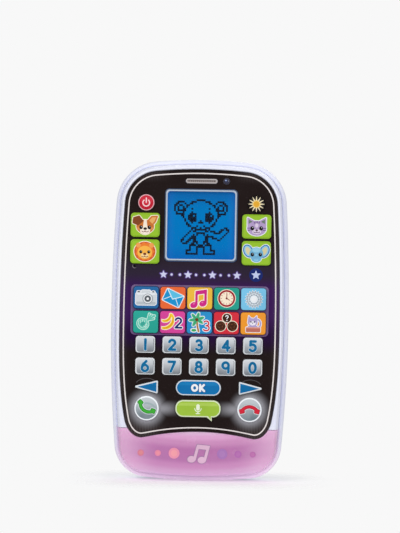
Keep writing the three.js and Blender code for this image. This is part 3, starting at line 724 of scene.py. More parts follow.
def bezel_rings():
    """The band round the faceplate: lip, crown, and side down to the seam."""
    lip = [(panel_at(PANEL_FIT), FRONT_Y + 0.85), (panel_at(0.28), FRONT_Y + 0.25),
           (panel_at(0.65), FRONT_Y), (panel_at(1.15), FRONT_Y + 0.2)]
    inner, outer = panel_at(1.15), silhouette(3.75)
    crown = [(inner * (1 - s) + outer * s, FRONT_Y + drop)
             for s, drop in ((0.3, 0.38), (0.55, 0.62), (0.8, 1.0))]
    side = [(outer, FRONT_Y + 1.6), (silhouette(3.3), FRONT_Y + 2.6), (silhouette(2.95), FRONT_Y + 4.2),
            (silhouette(2.8), FRONT_Y + 6.4), (silhouette(SEAM_INSET), SEAM_FRONT)]
    return smooth_rings(lip + crown + side, 44)


def casing():
    lavender, pink = lavender_material(), chin_material()
    outer = bezel_rings()
    inside = [(silhouette(4.55), SEAM_FRONT), (silhouette(4.55), LEDGE_BACK),
              (panel_at(-2), LEDGE_BACK), (panel_at(-2), LEDGE_FRONT), (panel_at(PANEL_FIT), LEDGE_FRONT)]
    front = Piece("front_shell_smooth")
    front.loft(outer + inside, lavender, tube=True)
    front = front.make("handset", ["front_shell"], "lavender_plastic")
    slice_object(front, CHIN_TOP_Z + 0.15, True)

    inner, wall = panel_at(1.8), silhouette(4.85)
    inside = [(wall, SEAM_FRONT), (wall, FRONT_Y + 4.6), ((inner + wall) / 2, FRONT_Y + 2.9),
              (inner, FRONT_Y + 2.6), (panel_at(PANEL_FIT), LEDGE_BACK)]
    chin = Piece("light_chin_smooth")
    chin.loft(outer + inside, pink, tube=True)
    chin = chin.make("handset", ["light_chin"], "pink_plastic")
    slice_object(chin, CHIN_TOP_Z - 0.15, False)
    return lavender, chin


def cutter(name, build):
    piece = Piece(name)
    build(piece)
    return piece.make()


def rear_shell(lavender):
    """The tub, cut and added to in the same places as the CAD's."""
    outside = [(SEAM_INSET, SEAM_REAR), (2.55, -6.15), (2.25, -6.5), (1.9, -6.72), (1.5, -6.75),
        (1.1, -6.5), (0.65, -5.95), (0.25, -4.9), (0.05, -3.6), (0, -2.2), (0, 2.5), (0, 6.2),
        (0.12, 7.8), (0.5, 9.2), (1.2, 10.6), (2.1, 11.75), (3.2, 12.7), (4.6, 13.55), (6.2, 14.2),
        (8.0, 14.68), (10, 15)]
    inside = [(12, 13), (7.8, 12.3), (4.8, 11), (3, 9), (2, 6.5), (2, -2), (4.55, SEAM_REAR)]
    tub = Piece("rear_shell_smooth")
    tub.loft([(silhouette(i), y) for i, y in outside], lavender)
    tub = tub.make("handset", ["rear_shell"], "lavender_plastic")

    def box(p, x0, x1, y0, y1, z0, z1):
        loop = np.array([(x0, z0), (x1, z0), (x1, z1), (x0, z1)], float)
        p.slab([loop], y0, y1, lavender)

    def hollow(p):
        p.loft([(silhouette(i), y) for i, y in inside] + [(silhouette(4.55), SEAM_REAR - 1)], lavender)

    recess = rounded(32.5, 65.3, 3.35, 8, 0, 61.9)
    posts = [(side * x, z) for side in (-1, 1) for x, z in ((31.2, 156), (35.5, 19.5))]

    def inner_walls(p):
        p.lathe([(3.8, 4), (3.8, 13.4)], 0, COVER_SCREW_Z, lavender)

    def bay(p):
        box(p, -14.5, 14.5, 0.3, 13.4, 31.0, 87.7)

    def seat(p):
        p.slab([offset(recess, 2.4)], 10.6, 13.4, lavender)

    def pillars(p):
        for x, z in posts:
            p.lathe([(4.4, SEAM_REAR), (4.4, 13.6)], x, z, lavender)

    def bay_cut(p):
        box(p, -13, 13, 1.8, 16, 32.5, 86.2)

    def recess_cut(p):
        p.slab([recess], 13, 16, lavender)

    def small_cuts(p):
        p.lathe([(2.1, 5.2), (2.1, 14)], 0, COVER_SCREW_Z, lavender)
        for x in (-7, 7):
            box(p, x - 2.4, x + 2.4, 10, 13.05, 26.8, 34)

    def screw_holes(p):
        for x, z in posts:
            p.lathe([(1.6, -7), (1.6, 7), (3.2, 7), (3.2, 14.75), (3.5, 15.05), (3.5, 16)], x, z,
                lavender, 32)

    def speaker_slots(p):
        for row in range(-3, 4):
            z = row * 3.4
            half = math.sqrt(12.2**2 - z * z)
            p.slab([pill(2 * half, 1.7, 8) + (0, SPEAKER_Z + z)], 12, 16, lavender)

    def floor_cut(p):
        box(p, -60, 60, -20, 20, -5, 0)

    steps = [("DIFFERENCE", hollow), ("UNION", bay), ("UNION", inner_walls), ("UNION", seat),
             ("UNION", pillars), ("DIFFERENCE", bay_cut), ("DIFFERENCE", recess_cut),
             ("DIFFERENCE", small_cuts), ("DIFFERENCE", screw_holes), ("DIFFERENCE", speaker_slots),
             ("DIFFERENCE", floor_cut)]
    for i, (operation, build) in enumerate(steps):
        tool = cutter("tool_%d" % i, build)
        modifier = tub.modifiers.new("cut", "BOOLEAN")
        modifier.operation, modifier.solver, modifier.object = operation, "EXACT", tool
        depsgraph = bpy.context.evaluated_depsgraph_get()
        mesh = bpy.data.meshes.new_from_object(tub.evaluated_get(depsgraph))
        tub.modifiers.clear()
        tub.data = mesh
        bpy.data.objects.remove(tool)
    tub.data.shade_smooth()
    tub.data.set_sharp_from_angle(angle=math.radians(30))
    return tub


# ---------------------------------------------------------------- keys

def arrowhead(side):
    """A rounded triangle that points right for side 1 and left for side -1."""
    tip = np.array((ARROW_SIZE[0] / 2 - ARROW_CORNER, 0))
    base = np.array((ARROW_CORNER - ARROW_SIZE[0] / 2, ARROW_SIZE[1] / 2 - ARROW_CORNER))
    slant = math.atan2(tip[0] - base[0], base[1])
    loop = np.vstack((arc(tip, ARROW_CORNER, -slant, slant, 8),
        arc(base, ARROW_CORNER, slant, math.pi, 6),
        arc(base * (1, -1), ARROW_CORNER, math.pi, 2 * math.pi - slant, 6)))
    return loop * side


def bubble():
    bar_loop = rounded(*SPEECH_SIZE, SPEECH_CORNER, 12)
    under = -SPEECH_SIZE[1] / 2
    tail = np.array([(4.6, under), (5.9, under - 1.0), (7.35, under - 2.2), (7.45, under - 1.0),
        (7.2, under)])
    return np.vstack((bar_loop, tail))


def key_body(piece, loop, centre, mat):
    stem = loop / np.linalg.norm(loop, axis=1)[:, None] * 2.0
    flange = offset(loop, 0.45)
    rings = [(stem, -10.4), (stem, -11.05), (flange, -11.05), (flange, -11.85), (loop, -11.85),
             (loop, KEY_TOP + KEY_EDGE)]
    for a in np.linspace(0, math.pi / 2, 7)[1:]:
        rings.append((offset(loop, -KEY_EDGE * (1 - math.cos(a))),
            KEY_TOP + KEY_EDGE * (1 - math.sin(a))))
    piece.loft(rings, mat, centre=centre)


def add_key(name, loop, centre, mat, g, layers, slot):
    piece = Piece(name + "_key_printed")
    key_body(piece, loop, centre, mat)
    piece.prints(layers, g, KEY_TOP, centre)
    return piece.make(name + "_button", [name + "_key"], slot)


WHITE, CREAM, NAVY, BLACK = (240, 242, 244), (250, 238, 214), (16, 40, 104), (24, 20, 24)


def digit_strokes(digit, g, w=1.25):
    """One rounded digit, 3.9 wide and 6.3 high, about the origin."""
    lines = {
        0: [curve(0, 0, 1.6, 2.55, 0, 360, 28)],
        1: [[(0.05, 2.6), (0.05, -2.6)]],
        2: [curve(0, 1.15, 1.5, 1.4, 165, -35, 14) + [(-1.5, -2.5), (1.65, -2.5)]],
        3: [curve(-0.1, 1.3, 1.35, 1.25, 145, -90, 14), curve(-0.1, -1.2, 1.6, 1.35, 90, -145, 14)],
        4: [[(0.85, -2.6), (0.85, 2.5), (-1.6, -1.0), (1.8, -1.0)]],
        5: [[(1.4, 2.5), (-1.15, 2.5), (-1.3, 0.35)], curve(-0.15, -0.85, 1.65, 1.7, 130, -145, 16)],
        6: [curve(0, -1.0, 1.6, 1.6, 0, 360, 22), [(-1.55, -0.7), (-1.1, 0.9), (0.7, 2.6)]],
        7: [[(-1.6, 2.5), (1.6, 2.5), (-0.5, -2.6)]],
        8: [curve(0, 1.35, 1.25, 1.2, 0, 360, 20), curve(0, -1.25, 1.6, 1.4, 0, 360, 22)],
        9: [curve(0, 1.0, 1.6, 1.6, 0, 360, 22), [(1.55, 0.9), (1.5, -2.6)]],
    }[digit]
    return both(*[stroke(g, line, w) for line in lines])


def digit_keys():
    g = grid(*DIGIT_SIZE)
    rows = [((z - 4.0) * MM, (z + 4.0) * MM) for z in sorted(DIGIT_ROWS)]
    face = silver_print("silver_key_face", rows, (118, 124, 132), (212, 216, 220))
    rim = plastic("silver_key_rim", (222, 225, 228), rough=0.28, specular=0.5)
    shade = (112, 118, 124)
    loop = rounded(*DIGIT_SIZE, DIGIT_CORNER)
    blue, edge = (0, 104, 152), (196, 214, 224)
    for i, digit in enumerate((1, 2, 3, 4, 5, 6, 7, 8, 9, 0)):
        glyph = digit_strokes(digit, g)
        layers = [(shade, bar(g, 0.1, -0.1, 9.0, 7.6, 1.2)), (face, bar(g, -0.05, 0.08, 8.7, 7.3, 1.1)),
                  (edge, glyph - 0.3), (blue, glyph - 0.06)]
        centre = (COLUMNS[i % 5], DIGIT_ROWS[i // 5])
        add_key("digit_%d" % digit, loop, centre, rim, g, layers, "silver_plastic")


def placer(x, z, turn, k=1.0):
    """A function that turns, scales and moves a point of a drawing to its place."""
    c, s = math.cos(math.radians(turn)), math.sin(math.radians(turn))

    def at(px, pz):
        return x + k * (c * px - s * pz), z + k * (s * px + c * pz)

    return at


def note_pair(g, x, z, k, turn=0):
    """Two beamed music notes."""
    at = placer(x, z, turn, k)
    heads = [oval(g, *at(x, z), 1.5 * k, 1.2 * k, turn + 20) for x, z in ((-2.1, -2.7), (1.9, -2.0))]
    stems = [stroke(g, [at(-0.95, -2.5), at(-0.95, 2.6)], 0.85 * k),
        stroke(g, [at(3.05, -1.8), at(3.05, 3.3)], 0.85 * k)]
    beam = poly(g, [at(-1.25, 2.0), at(3.45, 2.75), at(3.45, 4.1), at(-1.25, 3.35)], 0.1)
    return both(*heads, *stems, beam)


def gear(g, x, z, inner, outer, teeth):
    angle = np.arctan2(g[1] - z, g[0] - x)
    reach = np.hypot(g[0] - x, g[1] - z)
    return reach - (inner + outer) / 2 - (outer - inner) / 2 * np.cos(angle * teeth)


def app_icons(g):
    silver, grey, dark = (206, 212, 216), (150, 158, 164), (60, 64, 70)
    icons = {}

    body = both(bar(g, 0, -0.6, 10.8, 6.6, 1.1), bar(g, -0.1, 3.0, 4.8, 1.8, 0.6),
                bar(g, -3.9, 3.0, 1.8, 0.9, 0.3), bar(g, 3.8, 3.0, 1.6, 0.9, 0.3))
    icons["camera"] = [(WHITE, body - 0.35), (silver, body),
        ((178, 186, 192), bar(g, 0, -3.0, 10.2, 1.5, 0.6)),
        ((228, 232, 236), bar(g, 0, 1.9, 10.0, 1.0, 0.4)),
        (dark, both(bar(g, -3.9, 3.1, 1.2, 0.5, 0.2), bar(g, 3.8, 3.1, 1.0, 0.5, 0.2))),
        (grey, oval(g, 0.9, -0.6, 2.7)), (WHITE, oval(g, 0.9, -0.6, 2.3)),
        ((110, 118, 124), oval(g, 0.9, -0.6, 1.8)), (dark, oval(g, 0.9, -0.6, 1.25)),
        (WHITE, oval(g, 0.9, -0.6, 0.7))]

    letter = bar(g, 0.1, 0, 9.6, 6.6, 0.4, -25)
    on_letter = placer(0.1, 0, -25)
    flap = stroke(g, [on_letter(-4.6, 3.1), on_letter(0, -0.7), on_letter(4.6, 3.1)], 0.42)
    folds = both(stroke(g, [on_letter(-4.6, -3.1), on_letter(-1.4, 0.3)], 0.34),
                 stroke(g, [on_letter(4.6, -3.1), on_letter(1.4, 0.3)], 0.34))
    top = common(letter, poly(g, [on_letter(-4.8, 3.4), on_letter(4.8, 3.4), on_letter(0, -0.7)]))
    icons["mail"] = [(WHITE, letter - 0.4), ((24, 146, 206), letter), ((92, 192, 228), top),
        ((226, 246, 252), common(both(flap, folds), letter))]

    notes = note_pair(g, -0.6, -0.35, 1.2) - 0.12
    icons["music"] = [(CREAM, notes - 0.45), ((206, 38, 132), notes),
        ((236, 116, 178), both(oval(g, -3.1, -2.9, 0.55, 0.35, 20), oval(g, 1.4, -2.1, 0.55, 0.35, 20)))]

    face = oval(g, 0, 0.2, 4.5)
    ticks = fan(g, 0, 0.2, np.arange(0, 360, 30), 2.7, 3.1, 0.3)
    hands = both(stroke(g, [(0, 0.2), (0.1, 2.6)], 0.36), stroke(g, [(0, 0.2), (1.6, -0.7)], 0.36))
    icons["clock"] = [(CREAM, face - 0.35), ((160, 28, 42), face),
        ((250, 232, 206), oval(g, 0, 0.2, 3.5)), ((150, 90, 70), ticks), ((150, 50, 50), hands),
        ((120, 20, 30), oval(g, 0, 0.2, 0.5))]

    wheel = gear(g, 0.2, 0, 3.7, 4.6, 18)
    petals = gear(g, 0.2, 0, 2.3, 2.9, 12)
    icons["settings"] = [(WHITE, wheel - 0.3), ((168, 180, 190), wheel),
        ((214, 222, 228), oval(g, 0.2, 0, 3.2)), ((150, 164, 176), petals),
        ((232, 238, 242), oval(g, 0.2, 0, 2.1)), (WHITE, oval(g, 0.2, 0, 1.25))]

    fruit = oval(g, -1.5, -1.0, 3.15, 2.9, -35)
    crown = both(fan(g, 1.0, 1.0, (12, 32, 52, 74), 0, 3.4, 0.75), oval(g, 4.2, 3.1, 0.9, 0.6, 20))
    ribs = both(*[stroke(g, curve(-1.5 + k, -1.0 + 0.7 * k, 3.0, 2.8, 150, 310, 12), 0.3)
        for k in (0.7, 1.8, 2.9)])
    net = both(*[stroke(g, curve(-1.5 - k, -1.0 + k, 3.0, 2.8, -60, 90, 12), 0.3)
        for k in (0.8, 1.9, 2.8)])
    mint, pale = (96, 196, 174), (206, 240, 228)
    icons["pineapple"] = [(pale, both(fruit, crown) - 0.35), (mint, both(fruit, crown)),
        (pale, common(both(ribs, net), fruit + 0.25)),
        ((60, 166, 150), common(oval(g, -1.5, -1.0, 1.2), fruit))]

    first = cut(oval(g, -4.0, 1.2, 5.0), oval(g, -5.0, 2.2, 4.7))
    second = cut(oval(g, -3.9, 3.3, 3.3), oval(g, -4.7, 4.3, 3.1))
    fruit = common(both(first, second), bar(g, -1.9, 0.1, 7.4, 8.6, 1.0))
    pair = both(fruit, stroke(g, [(-0.9, 4.3), (-0.6, 3.2)], 0.8))
    two = digit_strokes(2, (g[0] - 3.1, g[1] + 0.3), 1.2) + 0.1
    icons["banana"] = [(CREAM, pair - 0.35), ((246, 206, 44), pair),
        ((224, 160, 30), common(pair, fruit + 0.45)), (WHITE, two - 0.4), (NAVY, two)]

    leaves = both(*[oval(g, -1.4 + 2.1 * math.cos(a), 1.6 + 1.9 * math.sin(a), 2.1, 0.85, math.degrees(a))
        for a in np.radians((20, 75, 130, 185, 240, 330))])
    veins = both(*[stroke(g, [(-1.4, 1.6), (-1.4 + 3.3 * math.cos(a), 1.6 + 3.1 * math.sin(a))], 0.2)
        for a in np.radians((20, 75, 130, 185, 240, 330))])
    trunk = stroke(g, [(-1.3, 0.6), (-1.0, -2.2), (-0.4, -4.6)], 0.95)
    three = digit_strokes(3, (g[0] - 3.7, g[1] + 1.6), 1.15) + 0.2
    icons["palm"] = [(WHITE, both(leaves, trunk, oval(g, -2.9, -4.0, 1.5, 0.9)) - 0.35),
        ((176, 122, 66), trunk), ((74, 182, 128), leaves), ((26, 132, 96), common(veins, leaves)),
        ((110, 64, 26), oval(g, -1.4, 1.6, 0.85)), ((60, 170, 90), oval(g, -2.9, -4.0, 1.3, 0.7)),
        (WHITE, three - 0.4), ((206, 26, 54), three)]

    nuts = [(0.3, 2.75, 2.3), (-3.0, -1.6, 2.65), (3.2, -1.6, 2.65)]
    shells = both(*[oval(g, *nut) for nut in nuts])
    husk = both(*[stroke(g, curve(x, z, k * r, k * r, a, a + 50, 5), 0.3) for x, z, r in nuts[1:]
                  for k, a in ((0.75, 20), (0.75, 140), (0.75, 260), (0.4, 80), (0.4, 200), (0.4, 320))])
    mark = both(stroke(g, curve(0.3, 3.4, 0.65, 0.65, 170, -60, 8) + [(0.3, 2.4)], 0.5),
        oval(g, 0.3, 1.45, 0.32))
    icons["coconut"] = [(CREAM, shells - 0.35), ((66, 32, 16), shells), ((122, 72, 40), husk),
        (WHITE, mark)]

    box_front = bar(g, 0, -3.2, 7.6, 2.6, 0.3)
    head, ears = oval(g, -0.3, 0.7, 2.6, 2.1), both(poly(g, [(-2.7, 1.6), (-2.4, 4.0), (-0.9, 2.5)], 0.1),
        poly(g, [(2.1, 1.6), (1.8, 4.0), (0.3, 2.5)], 0.1))
    paws = both(oval(g, -2.0, -1.7, 0.8, 0.6), oval(g, 1.6, -1.7, 0.8, 0.6))
    tail = stroke(g, curve(2.2, 0.0, 1.7, 2.2, -60, 100, 10), 0.8)
    kitten = both(head, ears, paws, tail, bar(g, -0.2, -1.2, 3.4, 2.2, 0.6))
    icons["toy_box"] = [(WHITE, both(kitten, box_front) - 0.35), ((176, 160, 206), kitten),
        ((236, 232, 242), oval(g, -0.3, 0.2, 1.7, 1.2)), ((190, 110, 96), box_front),
        ((226, 160, 140), bar(g, 0, -2.2, 7.6, 0.6, 0.2)),
        (BLACK, both(oval(g, -1.2, 0.9, 0.36), oval(g, 0.7, 0.9, 0.36), oval(g, -0.25, 0.25, 0.26)))]
    return icons


def app_keys():
    g = grid(*APP_SIZE)
    loop = rounded(*APP_SIZE, APP_CORNER)
    colours = {"camera": (12, 98, 158), "mail": (234, 100, 42), "music": (236, 184, 52),
        "clock": (12, 154, 136), "settings": (118, 194, 230), "pineapple": (22, 164, 146),
        "banana": (214, 60, 150), "palm": (20, 140, 200), "coconut": (212, 30, 52),
        "toy_box": (240, 152, 32)}
    for i, (name, layers) in enumerate(app_icons(g).items()):
        tile = plastic(name + "_tile", colours[name], rough=0.33, mottle=0.05)
        add_key(name, loop, (COLUMNS[i % 5], APP_ROWS[i // 5]), tile, g, layers, "tile_plastic")


def eyes(g, gap, z, r):
    pair = both(oval(g, -gap, z, r * 0.9, r), oval(g, gap, z, r * 0.9, r))
    shine = both(oval(g, 0.25 - gap, z + 0.35, r * 0.2), oval(g, gap + 0.25, z + 0.35, r * 0.2))
    return [(BLACK, pair), (WHITE, shine)]


def smile(g, z, w):
    return both(stroke(g, curve(-w / 2, z, w / 2, w / 2.4, 200, 350, 8), 0.3),
                stroke(g, curve(w / 2, z, w / 2, w / 2.4, 190, 340, 8), 0.3))


def animal_faces(g):
    faces = {}

    head = both(oval(g, 0, -0.9, 4.7, 3.6), oval(g, 0, -2.3, 3.3, 2.7))
    left = poly(g, [(-6.3, 1.2), (-6.0, 3.6), (-3.4, 4.4), (-1.6, 2.2), (-3.8, 0.2)], 0.5)
    right = poly(g, [(1.6, 2.2), (3.4, 4.3), (6.2, 4.5), (5.2, 1.8), (3.8, 0.2)], 0.5)
    muzzle = common(oval(g, 0, -3.0, 2.7, 2.0), head)
    blaze = common(both(poly(g, [(-0.45, 3.2), (0.45, 3.2), (1.1, -2), (-1.1, -2)], 0.2), muzzle), head)
    cheeks = twins(oval, g, 3.2, -1.9, 1.1, 0.8)
    faces["dog"] = [(CREAM, both(head, left, right) - 0.4), ((206, 118, 50), both(head, right)),
        ((134, 70, 34), left), ((236, 176, 104), right + 0.8), ((226, 150, 84), cheeks),
        ((250, 236, 216), blaze), ((30, 20, 20), oval(g, 0, -2.0, 0.95, 0.7)),
        ((120, 40, 36), smile(g, -3.0, 1.8)), *eyes(g, 2.2, -1.3, 1.0)]

    mane = oval(g, 0, 0, 5.65, 5.2)
    ears = twins(oval, g, 3.5, 3.3, 1.3)
    face = oval(g, 0, -0.5, 3.9, 3.5)
    tufts = common(gear(g, 0, 0, 4.3, 5.1, 11), mane + 0.2)
    faces["lion"] = [(CREAM, mane - 0.4), ((212, 92, 44), mane), ((234, 126, 48), tufts),
        ((240, 160, 84), ears), ((248, 182, 74), face), ((250, 214, 150), oval(g, 0, -2.2, 2.1, 1.4)),
        ((110, 44, 24), oval(g, 0, -1.3, 0.85, 0.6)), ((120, 50, 40), smile(g, -2.2, 1.7)),
        *eyes(g, 2.1, -0.2, 0.82)]

    head = oval(g, 0, -0.9, 5.1, 3.9)
    ears = both(poly(g, [(-4.6, 0.4), (-4.7, 4.4), (-1.3, 2.6)], 0.35),
        poly(g, [(4.6, 0.4), (4.7, 4.4), (1.3, 2.6)], 0.35))
    ear_in = both(poly(g, [(-4.2, 1.6), (-4.2, 3.6), (-2.4, 2.6)], 0.1),
        poly(g, [(4.2, 1.6), (4.2, 3.6), (2.4, 2.6)], 0.1))
    bands = both(*[stroke(g, [(x, 2.9), (x * 0.8, 1.7)], 0.4) for x in (-1.5, -0.5, 0.5, 1.5)],
        *[stroke(g, [(k * 4.9, z), (k * 3.5, z + 0.1)], 0.4) for k in (-1, 1) for z in (-0.9, -2.0)])
    faces["cat"] = [(WHITE, both(head, ears) - 0.4), ((180, 158, 200), both(head, ears)),
        ((112, 124, 112), ear_in), ((112, 88, 140), common(bands, head + 0.1)),
        ((222, 206, 228), both(oval(g, 0, -2.7, 2.4, 1.4), oval(g, 0, 0.6, 0.9, 1.2))),
        ((70, 40, 60), oval(g, 0, -1.9, 0.7, 0.45)), ((90, 56, 90), smile(g, -2.6, 1.6)),
        *eyes(g, 2.35, -0.9, 1.1)]

    head = both(oval(g, 0, -0.4, 3.7, 3.5), oval(g, 0, -2.9, 2.6, 1.8))
    ears = both(oval(g, -4.3, 1.1, 2.6, 3.6, 24), oval(g, 4.3, 1.1, 2.6, 3.6, -24))
    trunk = both(stroke(g, [(0, -0.8), (0, -3.2)], 1.3), oval(g, 0, -3.6, 1.2, 0.8))
    folds = both(*[stroke(g, [(-0.6, z), (0.6, z)], 0.2) for z in (-1.6, -2.3, -3.0)])
    faces["elephant"] = [(WHITE, both(head, ears) - 0.35), ((24, 112, 180), ears),
        ((150, 200, 224), ears + 0.55), ((216, 206, 160), ears + 1.35), ((116, 180, 214), head),
        ((150, 206, 230), oval(g, 0, 1.6, 2.2, 1.2)), ((140, 198, 226), trunk), ((60, 132, 180), folds),
        *eyes(g, 2.1, -0.7, 1.0)]
    return faces


def animal_keys():
    g = grid(*ANIMAL_SIZE)
    loop = rounded(*ANIMAL_SIZE, ANIMAL_CORNER)
    green = plastic("green_tile", (150, 194, 34), rough=0.33, mottle=0.05)
    deep = (122, 172, 28)
    places = {"dog": (-1, 0), "lion": (-1, 1), "cat": (1, 0), "elephant": (1, 1)}
    for name, layers in animal_faces(g).items():
        side, row = places[name]
        inner = bar(g, 0, 0, 14.0, 11.4, 1.3)
        layers = [(deep, cut(bar(g, 0, 0, 14.4, 11.8, 1.5), inner))] + layers
        add_key(name, loop, (side * ANIMAL_X, ANIMAL_ROWS[row]), green, g, layers, "green_plastic")


def handset_shape(g, turn):
    """An old-style telephone handset: an arched grip with two cups."""
    at = placer(0, 0, turn)
    grip = stroke(g, [at(px, pz) for px, pz in curve(0, -3.0, 4.4, 4.0, 25, 155, 14)], 1.9)
    cups = both(bar(g, *at(-4.0, -1.4), 2.9, 2.7, 0.7, turn + 14),
        bar(g, *at(4.0, -1.4), 2.9, 2.7, 0.7, turn - 14))
    return both(grip, cups)


def control_keys():
    g = grid(2 * TOP_RADIUS, 2 * TOP_RADIUS)
    symbol = both(stroke(g, curve(0, -0.15, 1.8, 1.8, 130, 410, 22), 0.6),
        stroke(g, [(0, 0.1), (0, 2.3)], 0.65))
    disc = oval(g, 0, 0, TOP_RADIUS - 0.5)
    pink = plastic("power_key_ring", (236, 178, 186), rough=0.3)
    add_key("power", ring_of(TOP_RADIUS), (-TOP_X, TOP_Z), pink, g,
        [((186, 20, 44), disc), ((204, 44, 64), common(disc, oval(g, 0, 1.2, 3.2, 2.3))),
        ((250, 214, 216), symbol)], "red_plastic")

    black = plastic("black_key", (32, 25, 25), rough=0.3, specular=0.16, mottle=0.1)
    rays = both(*[poly(g, [(1.7 * math.cos(a - 0.17), 1.7 * math.sin(a - 0.17)),
        (4.05 * math.cos(a), 4.05 * math.sin(a)), (1.7 * math.cos(a + 0.17), 1.7 * math.sin(a + 0.17))],
        0.16) for a in np.radians(np.arange(0, 360, 30))])
    add_key("sun", ring_of(TOP_RADIUS), (TOP_X, TOP_Z), black, g,
        [((240, 226, 186), rays), ((244, 214, 130), oval(g, 0, 0, 2.05)),
        ((232, 172, 52), oval(g, 0, 0, 1.6))], "amber_plastic")

    g = grid(*ARROW_SIZE)
    rim = plastic("arrow_key_rim", (222, 228, 233), rough=0.28, specular=0.4)
    for name, side in (("left_arrow", -1), ("right_arrow", 1)):
        triangle = poly(g, arrowhead(side)) + 0.75
        gloss = common(triangle + 0.3, stroke(g, [(-6 * side, 2.4), (6 * side, 0.6)], 1.2))
        layers = [((2, 106, 164), triangle), ((20, 122, 178), gloss)]
        add_key(name, arrowhead(side), (side * ARROW_X, ARROW_Z), rim, g, layers, "blue_plastic")

    g = grid(*OK_SIZE)
    pale = plastic("pale_key_rim", (214, 222, 230), rough=0.3)
    inner = bar(g, 0, 0, OK_SIZE[0] - 1.3, OK_SIZE[1] - 1.3, (OK_SIZE[1] - 1.3) / 2)
    letters = both(stroke(g, curve(-1.95, 0, 1.35, 1.5, 0, 360, 24), 1.15),
        stroke(g, [(0.95, 1.6), (0.95, -1.6)], 1.2),
        stroke(g, [(2.95, 1.6), (1.35, 0.05), (3.1, -1.6)], 1.15))
    gloss = common(inner + 0.4, bar(g, 0, 2.1, 30, 1.6))
    add_key("ok", pill(*OK_SIZE), (0, OK_Z), pale, g,
        [((6, 112, 174), inner), ((20, 124, 184), gloss), ((6, 78, 146), letters - 0.25),
        (WHITE, letters)], "blue_plastic")

    g = grid(SPEECH_SIZE[0], SPEECH_SIZE[1] + 5)
    tail = poly(g, [(5.2, -3.6), (6.9, -5.7), (6.8, -3.6)], 0.0)
    inner = both(bar(g, 0, 0, SPEECH_SIZE[0] - 1.4, SPEECH_SIZE[1] - 1.4, SPEECH_CORNER - 0.7), tail)
    mic = both(bar(g, 0, 0.75, 1.9, 3.4, 0.95), stroke(g, curve(0, 0.35, 1.75, 1.9, 185, 355, 12), 0.42),
               stroke(g, [(0, -1.6), (0, -2.5)], 0.45), stroke(g, [(-1.0, -2.55), (1.0, -2.55)], 0.45))
    gloss = common(inner + 0.4, bar(g, 0, 2.3, 30, 1.6))
    rim = plastic("speech_key_rim", (222, 234, 196), rough=0.3)
    add_key("speech", bubble(), (0, SPEECH_Z), rim, g,
            [((158, 194, 62), inner), ((176, 208, 88), gloss), ((236, 244, 218), mic)], "green_plastic")

    g = grid(2 * CALL_RADIUS, 2 * CALL_RADIUS)
    disc = oval(g, 0, 0, CALL_RADIUS - 0.75)
    level = [((CALL_Z - 5.5) * MM, (CALL_Z + 5.5) * MM)]
    face = silver_print("call_key_face", level, (104, 120, 128), (196, 204, 208))
    ring = plastic("call_key_ring", (236, 240, 244), rough=0.28, specular=0.5, glow=0.1)
    dents = cut(oval(g, 0, -1.0, 5.2, 4.2), oval(g, 0, -2.2, 5.4, 4.4))
    for name, side, turn, deep, bright in (("call", -1, 146, (20, 122, 30), (64, 172, 54)),
            ("hang_up", 1, 0, (170, 18, 40), (216, 40, 60))):
        phone = handset_shape((g[0], g[1] - 0.7) if turn == 0 else (g[0] + 0.7, g[1] + 0.3), turn)
        add_key(name, ring_of(CALL_RADIUS, 72), (side * CALL_X, CALL_Z), ring, g,
            [(face, disc), ((160, 178, 180), common(dents, disc + 0.3)), ((222, 228, 232), phone - 0.3),
            (deep, phone), (bright, phone + 0.32)], "silver_plastic")


# ---------------------------------------------------------------- faceplate and screen

def all_key_loops():
    app, digit = rounded(*APP_SIZE, APP_CORNER), rounded(*DIGIT_SIZE, DIGIT_CORNER)
    animal = rounded(*ANIMAL_SIZE, ANIMAL_CORNER)
    found = [(app, (x, z)) for z in APP_ROWS for x in COLUMNS]
    found += [(digit, (x, z)) for z in DIGIT_ROWS for x in COLUMNS]
    for side in (-1, 1):
        found += [(animal, (side * ANIMAL_X, z)) for z in ANIMAL_ROWS]
        found += [(ring_of(TOP_RADIUS), (side * TOP_X, TOP_Z)),
            (arrowhead(side), (side * ARROW_X, ARROW_Z)),
            (ring_of(CALL_RADIUS, 72), (side * CALL_X, CALL_Z))]
    return found + [(pill(*OK_SIZE), (0, OK_Z)), (bubble(), (0, SPEECH_Z))]


